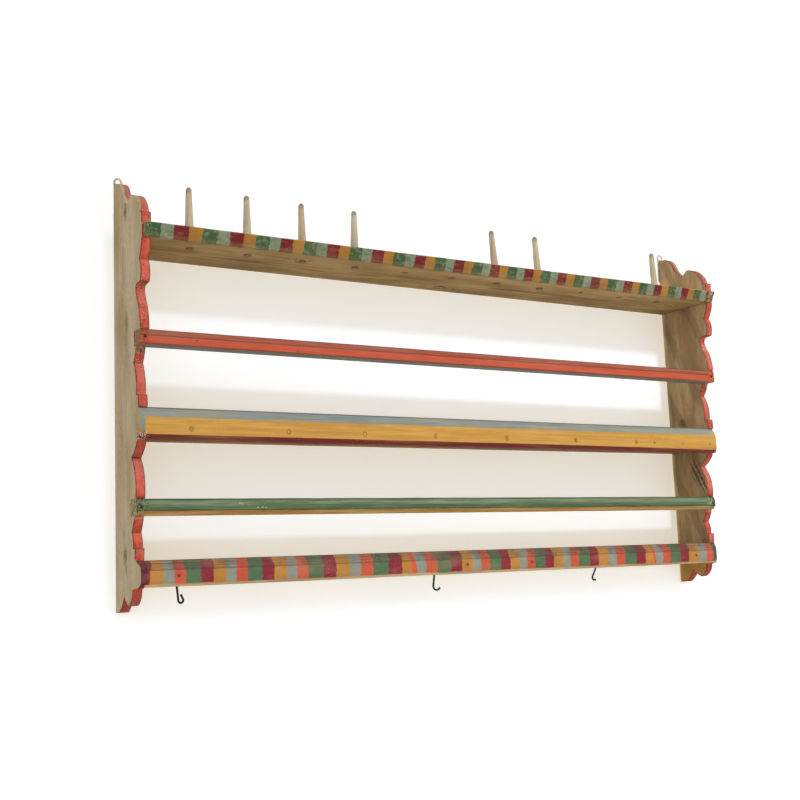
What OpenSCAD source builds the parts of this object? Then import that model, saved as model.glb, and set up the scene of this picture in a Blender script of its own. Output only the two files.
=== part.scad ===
/* [Rack] */
// Length over the outer faces of the two side boards
rack_w = 1500; // [1100:10:1800]
// Thickness of the side boards
side_t = 19; // [16:1:26]
// Depth of the side boards at the bottom shelf
depth_bottom = 106; // [96:1:130]
// Depth of the side boards at the top shelf
depth_top = 160; // [140:1:190]

/* [Shelves] */
// Height of the middle of the bottom shelf above the feet
bottom_shelf_h = 65; // [60:1:72]
// Height of the middle of the middle shelf above the feet
middle_shelf_h = 336; // [325:1:350]
// Height of the middle of the top shelf above the feet
top_shelf_h = 708; // [690:1:720]
// Height of the peaks of the side boards above the middle of the top shelf
peak_rise = 131; // [110:1:150]
// Thickness of the bottom and middle shelves
shelf_t = 18; // [14:1:22]
// Thickness of the top shelf
top_shelf_t = 26; // [20:1:30]
// How far the shelf ends are let into the side boards
housing = 6; // [3:1:9]
// Overhang of the top shelf in front of the side boards
nosing = 16; // [8:1:24]
// How far the front of the top shelf slopes back to its lower edge
nosing_undercut = 11; // [4:1:14]

/* [Rails] */
// Height of the middle of the lower plate rail above the feet
lower_rail_h = 193; // [185:1:200]
// Height of the middle of the upper plate rail above the feet
upper_rail_h = 508; // [495:1:520]
// Thickness of both plate rails from front to back
rail_t = 34; // [26:1:38]
// Height of the upper plate rail
upper_rail_tall = 29; // [22:1:34]
// Height of the lower plate rail
lower_rail_tall = 31; // [24:1:36]
// How far the upper rail stands in front of the side boards
upper_rail_proud = 4; // [0:1:10]
// How far the lower rail stands in front of the side boards
lower_rail_proud = 3; // [0:1:10]
// Width of the eased edges of the rails
ease = 4; // [2:0.5:6]
// Depth of the grooves along the rails
groove = 1.5; // [0.5:0.25:2.5]

/* [Lipped mouldings] */
// Height of the middle rail that covers the edge of the middle shelf
middle_rail_tall = 62; // [54:1:70]
// Thickness of the middle rail
middle_rail_t = 24; // [16:1:32]
// How far the middle rail reaches below the middle of its shelf
middle_rail_drop = 20; // [14:1:26]
// Height of the sloping top of the middle rail
middle_rail_slope = 21; // [12:1:28]
// Height of the bevel under the middle rail
middle_rail_bevel = 9; // [4:1:12]
// Height of the moulded board that covers the edge of the bottom shelf
bottom_rail_tall = 50; // [44:1:60]
// Thickness of the bottom board
bottom_rail_t = 14; // [10:1:22]
// How far the bottom board reaches below the middle of its shelf
bottom_rail_drop = 20; // [14:1:26]
// Height of the curved top of the bottom board
bottom_rail_ogee = 16; // [10:1:20]
// Size of the rounded edge under the bottom board
bottom_rail_round = 7; // [3:1:9]
// How far the ends of both mouldings slope back to the outer faces
rail_end_bevel = 7; // [3:1:12]

/* [Scalloped edge] */
// Depth of the sharp notches in the front edge
notch = 30; // [20:1:34]
// Depth of the shallow notch under the top shelf
notch_small = 11; // [6:1:18]
// Height of the straight lands above the mouldings
land = 23; // [16:1:28]
// Size of the square step at the end of each land
edge_step = 9; // [5:1:14]
// Roundness of the lobes between the notches
swell = 6; // [3:1:9]
// Depth of the notch between foot and lobe at the bottom
foot_notch = 29; // [20:1:34]
// Width of the foot against the wall
foot_w = 20; // [14:1:26]
// Width of the curve from the foot into its notch
foot_curve = 27; // [20:1:30]
// Setback of the lowest lobe behind the bottom board
lobe_setback = 12; // [8:1:16]
// Small setbacks along the sawn edge
setback = 3; // [1:0.5:5]
// Distance of the valley at the top from the wall
valley_d = 82; // [70:1:95]
// Distance of the valley at the top below the peak
valley_drop = 60; // [45:1:64]
// Width of the crown in front of the valley
crown_w = 16; // [10:1:20]
// Height of the crown above the valley
crown_h = 13; // [8:1:16]

/* [Pegs] */
// Number of peg holes along the top shelf
peg_holes = 11; // [11:1:11]
// Distance of the first peg hole from the left side board
peg_first = 94; // [60:1:120]
// Distance of the last peg hole from the right side board
peg_last = 132; // [60:1:150]
// Distance of the peg holes from the wall
peg_d = 116; // [90:1:130]
// Diameter of a peg at the top shelf
peg_dia = 15.5; // [12:0.5:18]
// Diameter of a peg below its rounded tip
peg_tip_dia = 11.5; // [8:0.5:14]
// Height of a peg above the top shelf
peg_rise = 97; // [60:1:120]
// How far a peg pokes through under the top shelf
peg_poke = 3; // [0:1:8]
// Radial clearance of a peg in its hole
peg_fit = 0.15; // [0.05:0.05:0.4]

/* [Hooks] */
// Diameter of the iron of a hook
hook_wire = 3.4; // [2.6:0.2:5]
// Length of a hook's shank below the bottom board
hook_shank = 22; // [16:1:30]
// Length of the straight tip of a closed hook
hook_tip = 8; // [4:1:10]
// Length of a hook's shank inside the bottom board
hook_seat = 14; // [8:1:20]

/* [Hangers] */
// Width of a hanging plate
hanger_w = 18; // [14:1:18]
// How far the right-hand plate sits towards the middle of the rack
hanger_shift = 4; // [0:0.5:6]
// Thickness of a hanging plate
hanger_t = 2; // [1.5:0.5:3]
// Length of a hanging plate below the top of the side board
hanger_len = 56; // [40:1:70]
// Radius of the round eye of a hanging plate
eye_r = 9.5; // [8:0.5:11]
// Radius of the hole in the eye
eye_hole_r = 5; // [3:0.5:6]
// Height of the eye's middle above the side board
eye_rise = 9; // [7:1:12]
// Radius of a screw's shank
screw_r = 1.6; // [1.2:0.1:2]
// Length of a screw
screw_len = 18; // [12:1:24]
// Distance of the lower screw from the end of its plate
screw_inset = 10; // [7:1:14]
// Distance of the upper screw below the peak
screw_drop = 16; // [12:1:20]

/* [Nails] */
// Radius of a nail's shank
nail_r = 1.3; // [1:0.1:1.6]
// Radius of a nail's head
nail_head_r = 3.2; // [2.4:0.1:4]
// Height of a nail's head above the wood
nail_head_t = 1.1; // [0.6:0.1:1.6]
// Length of a nail beyond the piece that it holds
nail_bite = 16; // [10:1:24]

/* [Hidden] */

$fn = 32;
// Clearance round a shelf end, a rail end or a nail
fit = 0.1;
// Extra length of a cut, so that it passes through a face
cut = 1;
// Straight pieces that stand for one arc of an outline
arc_steps = 8;

side_h = top_shelf_h + peak_rise;
half_w = rack_w / 2;
inner_w = rack_w - 2 * side_t;
side_x = half_w - side_t / 2;

// Lower and upper faces of every level piece, above the feet
bottom_rail_z0 = bottom_shelf_h - bottom_rail_drop;
bottom_rail_z1 = bottom_rail_z0 + bottom_rail_tall;
lower_rail_z0 = lower_rail_h - lower_rail_tall / 2;
lower_rail_z1 = lower_rail_h + lower_rail_tall / 2;
middle_rail_z0 = middle_shelf_h - middle_rail_drop;
middle_rail_z1 = middle_rail_z0 + middle_rail_tall;
upper_rail_z0 = upper_rail_h - upper_rail_tall / 2;
upper_rail_z1 = upper_rail_h + upper_rail_tall / 2;
top_shelf_z0 = top_shelf_h - top_shelf_t / 2;
top_shelf_z1 = top_shelf_h + top_shelf_t / 2;

// Depth of the untouched front edge at height z
function crest(z) = depth_bottom
    + (depth_top - depth_bottom) * (z - bottom_shelf_h) / (top_shelf_h - bottom_shelf_h);

// Depth of the flat seats and the front faces of the rails
bottom_seat = depth_bottom;
middle_seat = crest(middle_rail_z0) - setback / 2;
lower_rail_front = crest(lower_rail_h) + lower_rail_proud;
upper_rail_front = crest(upper_rail_h) + upper_rail_proud;

// Places along the mouldings as shares of half the rack's length
middle_nail_at = [-0.87, -0.137, 0.115, 0.377, 0.625, 0.704, 0.828, 0.952];
bottom_nail_at = [-0.893, -0.019, 0.213, 0.893];
hook_at = [-0.895, -0.13, 0.467];

// Shape of each bent hook: lean of its shank, radius and sweep of its bend
hook_lean = [3, 9, 20];
hook_bend = [6.2, 8, 6];
hook_sweep = [180, 140, 130];

// Lean of the pegs in their holes, in degrees, by hole number
function peg_lean(i) = i == 4 ? 1 : i == 7 ? -4 : i == 8 ? -3 : i == 11 ? -3 : 0;
function peg_x(i) = -inner_w / 2 + peg_first
    + (i - 1) * (inner_w - peg_first - peg_last) / (peg_holes - 1);

// Points on an arc from p to q, without q, that swells out by b to the right of the way
function arc_pts(p, q, b) =
    let (chord = norm(q - p), along = (q - p) / chord, out = [along[1], -along[0]])
    let (r = (chord * chord / 4 + b * b) / (2 * b), half = asin(chord / 2 / r))
    concat([p], [for (i = [1:arc_steps - 1])
        let (a = half * (2 * i / arc_steps - 1))
        (p + q) / 2 + along * r * sin(a) + out * (r * cos(a) - r + b)]);

// Heights of the notches and steps of the front edge
notch_1 = (bottom_rail_z1 + lower_rail_z0 + land) / 2;
step_1 = bottom_rail_z1 + land;
notch_2 = middle_rail_z0 - notch;
step_2 = middle_rail_z1 + land;
notch_3 = upper_rail_z0 - notch;
hollow_4 = upper_rail_z1 + (top_shelf_z0 - upper_rail_z1) * 0.45;
step_4 = hollow_4 + edge_step + setback;
notch_4 = top_shelf_z0 - notch - edge_step;
step_5 = top_shelf_z1 + land;

// The foot, its notch and the lobe in front of it, up to the seat of the bottom board
function foot_edge() =
    let (foot = [foot_w, 0], apex = [foot_w + foot_curve, foot_notch])
    let (lobe = [bottom_seat - lobe_setback, bottom_rail_z0 - setback])
    let (low = [(apex[0] + lobe[0]) / 2, foot_notch * 0.42])
    concat([[0, 0]], arc_pts(foot, apex, setback), arc_pts(apex, low, setback / 2), arc_pts(low, lobe, swell),
        [lobe, [bottom_seat, bottom_rail_z0]]);

// From the bottom board up to the lower rail
function edge_1() =
    let (front = crest(step_1) - setback, apex = [crest(notch_1) - notch * 0.7, notch_1])
    concat([[bottom_seat, bottom_rail_z1], [front, step_1]],
        arc_pts([front - edge_step, step_1], apex, swell / 2),
        arc_pts(apex, [crest(lower_rail_z0) - edge_step, lower_rail_z0], swell / 4));

// From the lower rail up to the middle rail
function edge_2() =
    let (apex = [crest(notch_2) - notch, notch_2])
    concat(arc_pts([crest(lower_rail_z1) - edge_step / 2, lower_rail_z1], apex, swell + setback),
        arc_pts(apex, [middle_seat, middle_rail_z0], swell / 2));

// From the middle rail up to the upper rail
function edge_3() =
    let (front = crest(step_2) - setback, apex = [crest(notch_3) - notch, notch_3])
    concat([[middle_seat, middle_rail_z1], [crest(middle_rail_z1), middle_rail_z1], [front, step_2]],
        arc_pts([front - edge_step, step_2], apex, swell),
        arc_pts(apex, [crest(upper_rail_z0) - 2 * edge_step, upper_rail_z0], swell / 3));

// From the upper rail up to the top shelf, with the long hollow above the rail
function edge_4() =
    let (ramp = [crest(upper_rail_z1) - edge_step, upper_rail_z1 + 0.66 * (hollow_4 - upper_rail_z1)])
    let (hollow = [crest(hollow_4) - notch + setback, hollow_4])
    let (rise = [crest(step_4) - notch + edge_step, step_4 - setback / 2])
    let (apex = [crest(notch_4) - notch_small, notch_4])
    concat(arc_pts([crest(upper_rail_z1) + setback / 2, upper_rail_z1], ramp, swell / 2),
        arc_pts(ramp, hollow, -swell / 4),
        arc_pts(hollow, rise, -swell / 4),
        arc_pts([crest(step_4) - setback, step_4], apex, swell),
        arc_pts(apex, [depth_top, top_shelf_z0 - setback], swell / 4));

// From the top shelf up to the peak against the wall
function peak_edge() =
    let (valley = [valley_d, side_h - valley_drop], crown = valley + [crown_w, crown_h])
    let (turn = [valley_d * 0.61, side_h - valley_drop * 0.45], peak = [valley_d * 0.3, side_h - setback / 2])
    concat([[depth_top, step_5]],
        arc_pts([depth_top - edge_step, step_5], crown, 2 * swell),
        [crown],
        arc_pts(valley, turn, -swell * 0.7),
        arc_pts(turn, peak, swell * 0.7),
        [peak, [0, side_h]]);

function side_outline() =
    concat(foot_edge(), edge_1(), edge_2(), edge_3(), edge_4(), peak_edge());

// Heights are measured from the feet and the origin is on the back edge of the bottom shelf
module placed() {
    translate([0, 0, -bottom_shelf_h]) children();
}

// Runs a section, drawn as distance from the wall and height, along the rack
module run(len) {
    translate([len / 2, 0, 0]) rotate([90, 0, -90]) linear_extrude(height = len) children();
}

// A rectangular bar from the wall side to the front side
module bar(len, back, front, z0, z1) {
    translate([-len / 2, -front, z0]) cube([len, front - back, z1 - z0]);
}

// A hole or a shank that runs from the front towards the wall
module drill(x, front, z, len, r) {
    translate([x, -front, z]) rotate([-90, 0, 0]) cylinder(r = r, h = len);
}

// A nail with a low domed head on the front face and a short point
module nail(x, front, z, len) {
    translate([x, -front, z]) rotate([-90, 0, 0]) rotate_extrude()
        polygon([[0, -nail_head_t], [nail_head_r / 2, -0.9 * nail_head_t], [nail_head_r, -nail_head_t / 3],
            [nail_head_r, 0], [nail_r, 0], [nail_r, len - 2 * nail_r], [nail_r / 4, len], [0, len]]);
}

// The slot in a side board that holds a shelf end or a rail end
module housing_cut(z0, z1, back, front, deep) {
    translate([half_w - side_t - cut, -front - cut, z0 - fit])
        cube([deep + cut, front - back + 2 * cut, z1 - z0 + 2 * fit]);
}

screw_z = [side_h - hanger_len + screw_inset, side_h - screw_drop];

// Rebate for a hanging plate across the back edge, with its screw holes
module hanger_seat(x) {
    translate([half_w - side_t - cut, -hanger_t, side_h - hanger_len - fit])
        cube([side_t + 2 * cut, hanger_t + cut, hanger_len + fit + cut]);
    for (z = screw_z) translate([x, cut, z]) rotate([90, 0, 0])
        cylinder(r = screw_r + fit, h = screw_len + fit + cut);
}

module side_board(plate_x) {
    difference() {
        translate([half_w, 0, 0]) rotate([90, 0, -90])
            linear_extrude(height = side_t) polygon(side_outline());
        housing_cut(bottom_shelf_h - shelf_t / 2, bottom_shelf_h + shelf_t / 2, -cut, bottom_seat, housing + fit);
        housing_cut(middle_shelf_h - shelf_t / 2, middle_shelf_h + shelf_t / 2, -cut, middle_seat, housing + fit);
        housing_cut(top_shelf_z0, top_shelf_z1, -cut, depth_top, housing + fit);
        housing_cut(lower_rail_z0, lower_rail_z1, lower_rail_front - rail_t - fit, lower_rail_front, side_t + cut);
        housing_cut(upper_rail_z0, upper_rail_z1, upper_rail_front - rail_t - fit, upper_rail_front, side_t + cut);
        drill(side_x, lower_rail_front, lower_rail_h, rail_t + nail_bite + fit, nail_r + fit);
        drill(side_x, upper_rail_front, upper_rail_h, rail_t + nail_bite + fit, nail_r + fit);
        hanger_seat(plate_x);
    }
}

module side_left() {
    color("tan") placed() mirror([1, 0, 0]) side_board(side_x);
}

module side_right() {
    color("tan") placed() side_board(side_x - hanger_shift);
}

// A shelf between the side boards, with its ends in their housings
module shelf_plank(z, t, front) {
    bar(inner_w + 2 * housing, 0, front, z - t / 2, z + t / 2);
}

module peg_bore(i, r, z0, z1) {
    translate([peg_x(i), -peg_d, top_shelf_h]) rotate([0, peg_lean(i), 0])
        translate([0, 0, z0 - top_shelf_h]) cylinder(r = r, h = z1 - z0);
}

module top_shelf() {
    color("peru") placed() difference() {
        union() {
            shelf_plank(top_shelf_h, top_shelf_t, depth_top + cut);
            run(rack_w) polygon([
                [depth_top, top_shelf_z0], [depth_top + nosing - nosing_undercut, top_shelf_z0],
                [depth_top + nosing, top_shelf_z1 - 2], [depth_top + nosing - 2, top_shelf_z1],
                [depth_top, top_shelf_z1]]);
        }
        for (i = [1:peg_holes])
            peg_bore(i, peg_dia / 2 + peg_fit, top_shelf_z0 - 5, top_shelf_z1 + 5);
    }
}

// Holes of the nails that come through a rail into the edge of its shelf
module shelf_nail_holes(at, front, z) {
    for (s = at) drill(s * half_w, front + cut, z, nail_bite + cut + fit, nail_r + fit);
}

// Cuts both ends of a moulding back, so that its front is shorter than its back
module end_bevels(back, front) {
    slope = rail_end_bevel / (front - back);
    for (side = [-1, 1]) linear_extrude(height = side_h)
        polygon([[side * half_w, -back], [side * (half_w + cut), -back], [side * (half_w + cut), -front - cut],
            [side * (half_w - rail_end_bevel - cut * slope), -front - cut]]);
}

module middle_shelf() {
    color("burlywood") placed() difference() {
        shelf_plank(middle_shelf_h, shelf_t, middle_seat);
        shelf_nail_holes(middle_nail_at, middle_seat, middle_shelf_h);
    }
}

module bottom_shelf() {
    color("burlywood") placed() difference() {
        shelf_plank(bottom_shelf_h, shelf_t, bottom_seat);
        shelf_nail_holes(bottom_nail_at, bottom_seat, bottom_shelf_h);
    }
}

// Square at the back, with a slanting upper face, a groove and a rounded lower edge in front
module upper_rail_section() {
    back = upper_rail_front - rail_t;
    front = upper_rail_front;
    line = upper_rail_z1 - upper_rail_tall * 0.4;
    polygon(concat([[back, upper_rail_z0], [front - ease, upper_rail_z0]],
        arc_pts([front - ease, upper_rail_z0], [front, upper_rail_z0 + ease], ease * 0.29),
        [[front, upper_rail_z0 + ease], [front, line - groove], [front - groove, line],
            [front - groove / 3, line + groove]],
        arc_pts([front - ease / 4, upper_rail_z1 - ease], [front - ease, upper_rail_z1], ease * 0.2),
        [[front - ease, upper_rail_z1], [back, upper_rail_z1]]));
}

module upper_rail() {
    color("tomato") placed() difference() {
        run(rack_w) upper_rail_section();
        for (x = [-side_x, side_x])
            drill(x, upper_rail_front + cut, upper_rail_h, rail_t + 2 * cut, nail_r + fit);
    }
}

// A round bead above a flat bevel that slopes back under it
module lower_rail_section() {
    back = lower_rail_front - rail_t;
    front = lower_rail_front;
    bevel = lower_rail_z0 + lower_rail_tall / 4;
    polygon(concat([[back, lower_rail_z0], [front - 2 * ease, lower_rail_z0], [front - ease / 2, bevel]],
        arc_pts([front - ease / 4, bevel], [front - ease, lower_rail_z1 - groove], ease * 0.6),
        [[front - ease, lower_rail_z1 - groove], [front - ease - groove, lower_rail_z1], [back, lower_rail_z1]]));
}

module lower_rail() {
    color("seagreen") placed() difference() {
        run(rack_w) lower_rail_section();
        for (x = [-side_x, side_x])
            drill(x, lower_rail_front + cut, lower_rail_h, rail_t + 2 * cut, nail_r + fit);
    }
}

// A sloping top, a flat face and a bevel below
module middle_rail_section() {
    back = middle_seat;
    front = middle_seat + middle_rail_t;
    polygon([[back, middle_rail_z0], [front - middle_rail_bevel, middle_rail_z0],
        [front, middle_rail_z0 + middle_rail_bevel], [front, middle_rail_z1 - middle_rail_slope],
        [back + setback, middle_rail_z1], [back, middle_rail_z1]]);
}

module middle_rail() {
    front = middle_seat + middle_rail_t;
    color("goldenrod") placed() difference() {
        run(rack_w) middle_rail_section();
        end_bevels(middle_seat, front);
        for (s = middle_nail_at)
            drill(s * half_w, front + cut, middle_shelf_h, middle_rail_t + 2 * cut, nail_r + fit);
    }
}

// A flat board with an ogee along its top edge, a groove under the ogee and a rounded lower edge
module bottom_rail_section() {
    back = bottom_seat;
    front = bottom_seat + bottom_rail_t;
    lip = bottom_rail_z1 - bottom_rail_ogee;
    middle = [front - bottom_rail_t * 0.35, (bottom_rail_z1 + lip) / 2];
    low = [front - bottom_rail_round, bottom_rail_z0];
    round_top = [front, bottom_rail_z0 + 2 * bottom_rail_round];
    polygon(concat([[back, bottom_rail_z0]], arc_pts(low, round_top, bottom_rail_round / 4),
        [round_top, [front, lip - 2 * groove], [front - groove, lip - groove]],
        arc_pts([front - groove / 3, lip], middle, groove / 2),
        arc_pts(middle, [back + setback, bottom_rail_z1], -groove / 2),
        [[back + setback, bottom_rail_z1], [back, bottom_rail_z1]]));
}

function hook_x(k) = hook_at[k] * half_w;
hook_d = bottom_seat + bottom_rail_t * 0.4;

module bottom_rail() {
    front = bottom_seat + bottom_rail_t;
    color("indianred") placed() difference() {
        run(rack_w) bottom_rail_section();
        end_bevels(bottom_seat, front);
        for (s = bottom_nail_at)
            drill(s * half_w, front + cut, bottom_shelf_h, bottom_rail_t + 2 * cut, nail_r + fit);
        for (k = [0:2]) hook_place(k) translate([0, 0, -hook_wire])
            cylinder(r = hook_wire / 2 + fit, h = hook_seat + hook_wire + fit);
    }
}

// A whittled peg that tapers to a rounded tip
module peg(i) {
    r = peg_dia / 2;
    tip = peg_tip_dia / 2;
    foot = -top_shelf_t / 2 - peg_poke;
    top = top_shelf_t / 2 + peg_rise;
    color("wheat") placed() translate([peg_x(i), -peg_d, top_shelf_h]) rotate([0, peg_lean(i), 0])
        rotate_extrude() polygon(concat([[0, foot]],
            [[r - setback / 2, foot], [r, foot + setback / 2], [r, top_shelf_t / 2 + setback]],
            [for (a = [0:15:75]) [tip * cos(a), top - tip + tip * sin(a)]],
            [[0, top]]));
}

module peg_1() { peg(1); }
module peg_2() { peg(2); }
module peg_3() { peg(3); }
module peg_4() { peg(4); }
module peg_7() { peg(7); }
module peg_8() { peg(8); }
module peg_11() { peg(11); }

// Places a hook: its seat leans with its shank, and its bend opens to the right
module hook_place(k) {
    translate([hook_x(k), -hook_d, bottom_rail_z0]) rotate([0, hook_lean[k], 0]) children();
}

// A bent iron hook with its seat in the bottom board and a small knob at its tip
module hook(k) {
    r = hook_wire / 2;
    bend = hook_bend[k];
    end = 180 - hook_sweep[k];
    tip = end == 0 ? hook_tip : 0;
    color("dimgray") placed() hook_place(k) {
        translate([0, 0, -hook_shank]) cylinder(r = r, h = hook_shank + hook_seat);
        translate([bend, 0, -hook_shank]) rotate([-90, 0, 0]) {
            rotate_extrude(angle = hook_sweep[k], start = end) translate([bend, 0]) circle(r = r);
            if (tip > 0) translate([bend, 0, 0]) rotate([90, 0, 0]) cylinder(r = r, h = tip);
            rotate([0, 0, end]) translate([bend, -tip, 0]) sphere(r = r * 1.3);
        }
    }
}

module hook_left() { hook(0); }
module hook_middle() { hook(1); }
module hook_right() { hook(2); }

// A flat iron plate let into the back edge, with a round eye above the board
module hanger_plate(x) {
    color("silver") placed() difference() {
        union() {
            translate([x - hanger_w / 2, -hanger_t, side_h - hanger_len])
                cube([hanger_w, hanger_t, hanger_len + eye_rise]);
            translate([x, 0, side_h + eye_rise]) rotate([90, 0, 0]) cylinder(r = eye_r, h = hanger_t);
        }
        translate([x, cut, side_h + eye_rise]) rotate([90, 0, 0]) cylinder(r = eye_hole_r, h = hanger_t + 2 * cut);
        for (z = screw_z) translate([x, 0, z]) rotate([90, 0, 0]) {
            translate([0, 0, -cut]) cylinder(r = screw_r + fit, h = hanger_t + 2 * cut);
            translate([0, 0, -fit]) cylinder(r1 = 2 * screw_r + 2 * fit, r2 = screw_r + fit, h = screw_r + fit);
        }
    }
}

module hanger_left() { hanger_plate(-side_x); }
module hanger_right() { hanger_plate(side_x - hanger_shift); }

// Countersunk screws that hold the hanging plates
module hanger_screws() {
    color("gray") placed() for (x = [-side_x, side_x - hanger_shift], z = screw_z)
        translate([x, 0, z]) rotate([90, 0, 0]) {
            cylinder(r1 = 2 * screw_r, r2 = screw_r, h = screw_r);
            translate([0, 0, screw_r / 2]) cylinder(r = screw_r, h = screw_len - screw_r);
        }
}

module upper_rail_nails() {
    color("dimgray") placed() for (x = [-side_x, side_x])
        nail(x, upper_rail_front, upper_rail_h, rail_t + nail_bite);
}

module lower_rail_nails() {
    color("dimgray") placed() for (x = [-side_x, side_x])
        nail(x, lower_rail_front, lower_rail_h, rail_t + nail_bite);
}

module middle_rail_nails() {
    color("dimgray") placed() for (s = middle_nail_at)
        nail(s * half_w, middle_seat + middle_rail_t, middle_shelf_h, middle_rail_t + nail_bite);
}

module bottom_rail_nails() {
    color("dimgray") placed() for (s = bottom_nail_at)
        nail(s * half_w, bottom_seat + bottom_rail_t, bottom_shelf_h, bottom_rail_t + nail_bite);
}

side_left();
side_right();
top_shelf();
middle_shelf();
bottom_shelf();
upper_rail();
lower_rail();
middle_rail();
bottom_rail();
peg_1();
peg_2();
peg_3();
peg_4();
peg_7();
peg_8();
peg_11();
hook_left();
hook_middle();
hook_right();
hanger_left();
hanger_right();
hanger_screws();
upper_rail_nails();
lower_rail_nails();
middle_rail_nails();
bottom_rail_nails();
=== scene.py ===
"""Looks of a painted pine wall plate rack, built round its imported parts."""

import logging
import math
import random
from dataclasses import dataclass
from enum import Enum
from typing import Callable, Sequence, Union

import bmesh
import bpy
from mathutils import Matrix, Vector, noise


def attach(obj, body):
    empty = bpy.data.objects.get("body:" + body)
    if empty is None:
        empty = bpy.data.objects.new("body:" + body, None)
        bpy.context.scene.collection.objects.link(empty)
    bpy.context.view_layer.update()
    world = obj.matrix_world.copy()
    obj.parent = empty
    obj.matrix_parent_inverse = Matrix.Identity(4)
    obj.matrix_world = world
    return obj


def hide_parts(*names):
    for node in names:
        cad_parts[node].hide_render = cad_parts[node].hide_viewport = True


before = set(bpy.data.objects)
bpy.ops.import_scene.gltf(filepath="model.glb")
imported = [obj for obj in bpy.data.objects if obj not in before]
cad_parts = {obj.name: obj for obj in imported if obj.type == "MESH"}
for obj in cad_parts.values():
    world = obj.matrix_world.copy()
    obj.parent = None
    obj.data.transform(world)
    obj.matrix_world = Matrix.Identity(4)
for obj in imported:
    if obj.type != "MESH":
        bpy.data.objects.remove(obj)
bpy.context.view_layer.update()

LOG = logging.getLogger("plate_rack")

Colour = tuple[float, float, float, float]
Shades = tuple[Colour, Colour, Colour]
Pair = tuple[float, float]
Triple = tuple[float, float, float]
Size = Triple

MM = 0.001
FEET = 65.0
HALF_LENGTH = 750.0
BOARD = 19.0
BODY = "root"
END_RINGS = (748.6, 746.0, 742.5)
END_SPAN = 12.0
WELD = 0.02 * MM
FLAT = math.radians(0.6)
SHARP = math.radians(38)
HAIR = 1e-7


def pot(red: float, green: float, blue: float) -> Colour:
    """Mixes a paint from its screen values.

    Args:
        red: Red from 0 to 255.
        green: Green from 0 to 255.
        blue: Blue from 0 to 255.

    Returns:
        The linear colour that a shader takes.
    """

    def linear(value: float) -> float:
        """Straightens one screen value."""
        share = value / 255
        return share / 12.92 if share <= 0.04045 else ((share + 0.055) / 1.055) ** 2.4

    return (linear(red), linear(green), linear(blue), 1.0)


class Grain(Enum):
    """The way that the fibres of a plank run."""

    UPRIGHT = "upright"
    LENGTHWISE = "lengthwise"


class Side(Enum):
    """The two ends of the rack, as the sign of X."""

    LEFT = -1
    RIGHT = 1


class Flow:
    """A shader value that takes part in Python sums."""

    def __init__(self, bench: "Tree", socket: bpy.types.NodeSocket) -> None:
        """Keeps the socket and the tree that it belongs to."""
        self.bench = bench
        self.socket = socket

    def __add__(self, other: "Term") -> "Flow":
        """Adds."""
        return self.bench.maths("ADD", self, other)

    def __radd__(self, other: "Term") -> "Flow":
        """Adds to a number."""
        return self.bench.maths("ADD", other, self)

    def __sub__(self, other: "Term") -> "Flow":
        """Takes away."""
        return self.bench.maths("SUBTRACT", self, other)

    def __rsub__(self, other: "Term") -> "Flow":
        """Takes this away from a number."""
        return self.bench.maths("SUBTRACT", other, self)

    def __mul__(self, other: "Term") -> "Flow":
        """Multiplies."""
        return self.bench.maths("MULTIPLY", self, other)

    def __rmul__(self, other: "Term") -> "Flow":
        """Multiplies a number."""
        return self.bench.maths("MULTIPLY", other, self)

    def __truediv__(self, other: "Term") -> "Flow":
        """Divides."""
        return self.bench.maths("DIVIDE", self, other)

    def __pow__(self, power: "Term") -> "Flow":
        """Raises to a power."""
        return self.bench.maths("POWER", self, power)

    def __neg__(self) -> "Flow":
        """Turns the sign round."""
        return self.bench.maths("SUBTRACT", 0.0, self)

    def __abs__(self) -> "Flow":
        """Drops the sign."""
        return self.bench.maths("ABSOLUTE", self)

    def fraction(self) -> "Flow":
        """Keeps what follows the point."""
        return self.bench.maths("FRACT", self)

    def sine(self) -> "Flow":
        """Takes the sine."""
        return self.bench.maths("SINE", self)

    def most(self, other: "Term") -> "Flow":
        """Takes the larger of two."""
        return self.bench.maths("MAXIMUM", self, other)

    def rise(self, low: float, high: float) -> "Flow":
        """Eases from 0 to 1 over a stretch.

        Args:
            low: Value at which the result is 0.
            high: Value at which the result is 1.

        Returns:
            The eased value.
        """
        sockets = {"Value": self, "From Min": low, "From Max": high}
        return self.bench.take("ShaderNodeMapRange", 0, {"interpolation_type": "SMOOTHSTEP"}, sockets)

    def band(self, centre: "Term", half: float, soft: float) -> "Flow":
        """Marks a band.

        Args:
            centre: Middle of the band.
            half: Half of its width.
            soft: Stretch over which it fades.

        Returns:
            1 inside the band and 0 outside.
        """
        return abs(self - centre).rise(half + soft, half)


Term = Union[Flow, float, Sequence[float]]


@dataclass(frozen=True)
class Skin:
    """What a finish hands to the shader: colour, roughness and relief in millimetres."""

    colour: Flow
    rough: Term
    relief: Term

    def coated(self, share: Term, colour: Term) -> "Skin":
        """Lays a colour on the same surface."""
        return Skin(self.colour.bench.blend(share, self.colour, colour), self.rough, self.relief)


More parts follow.
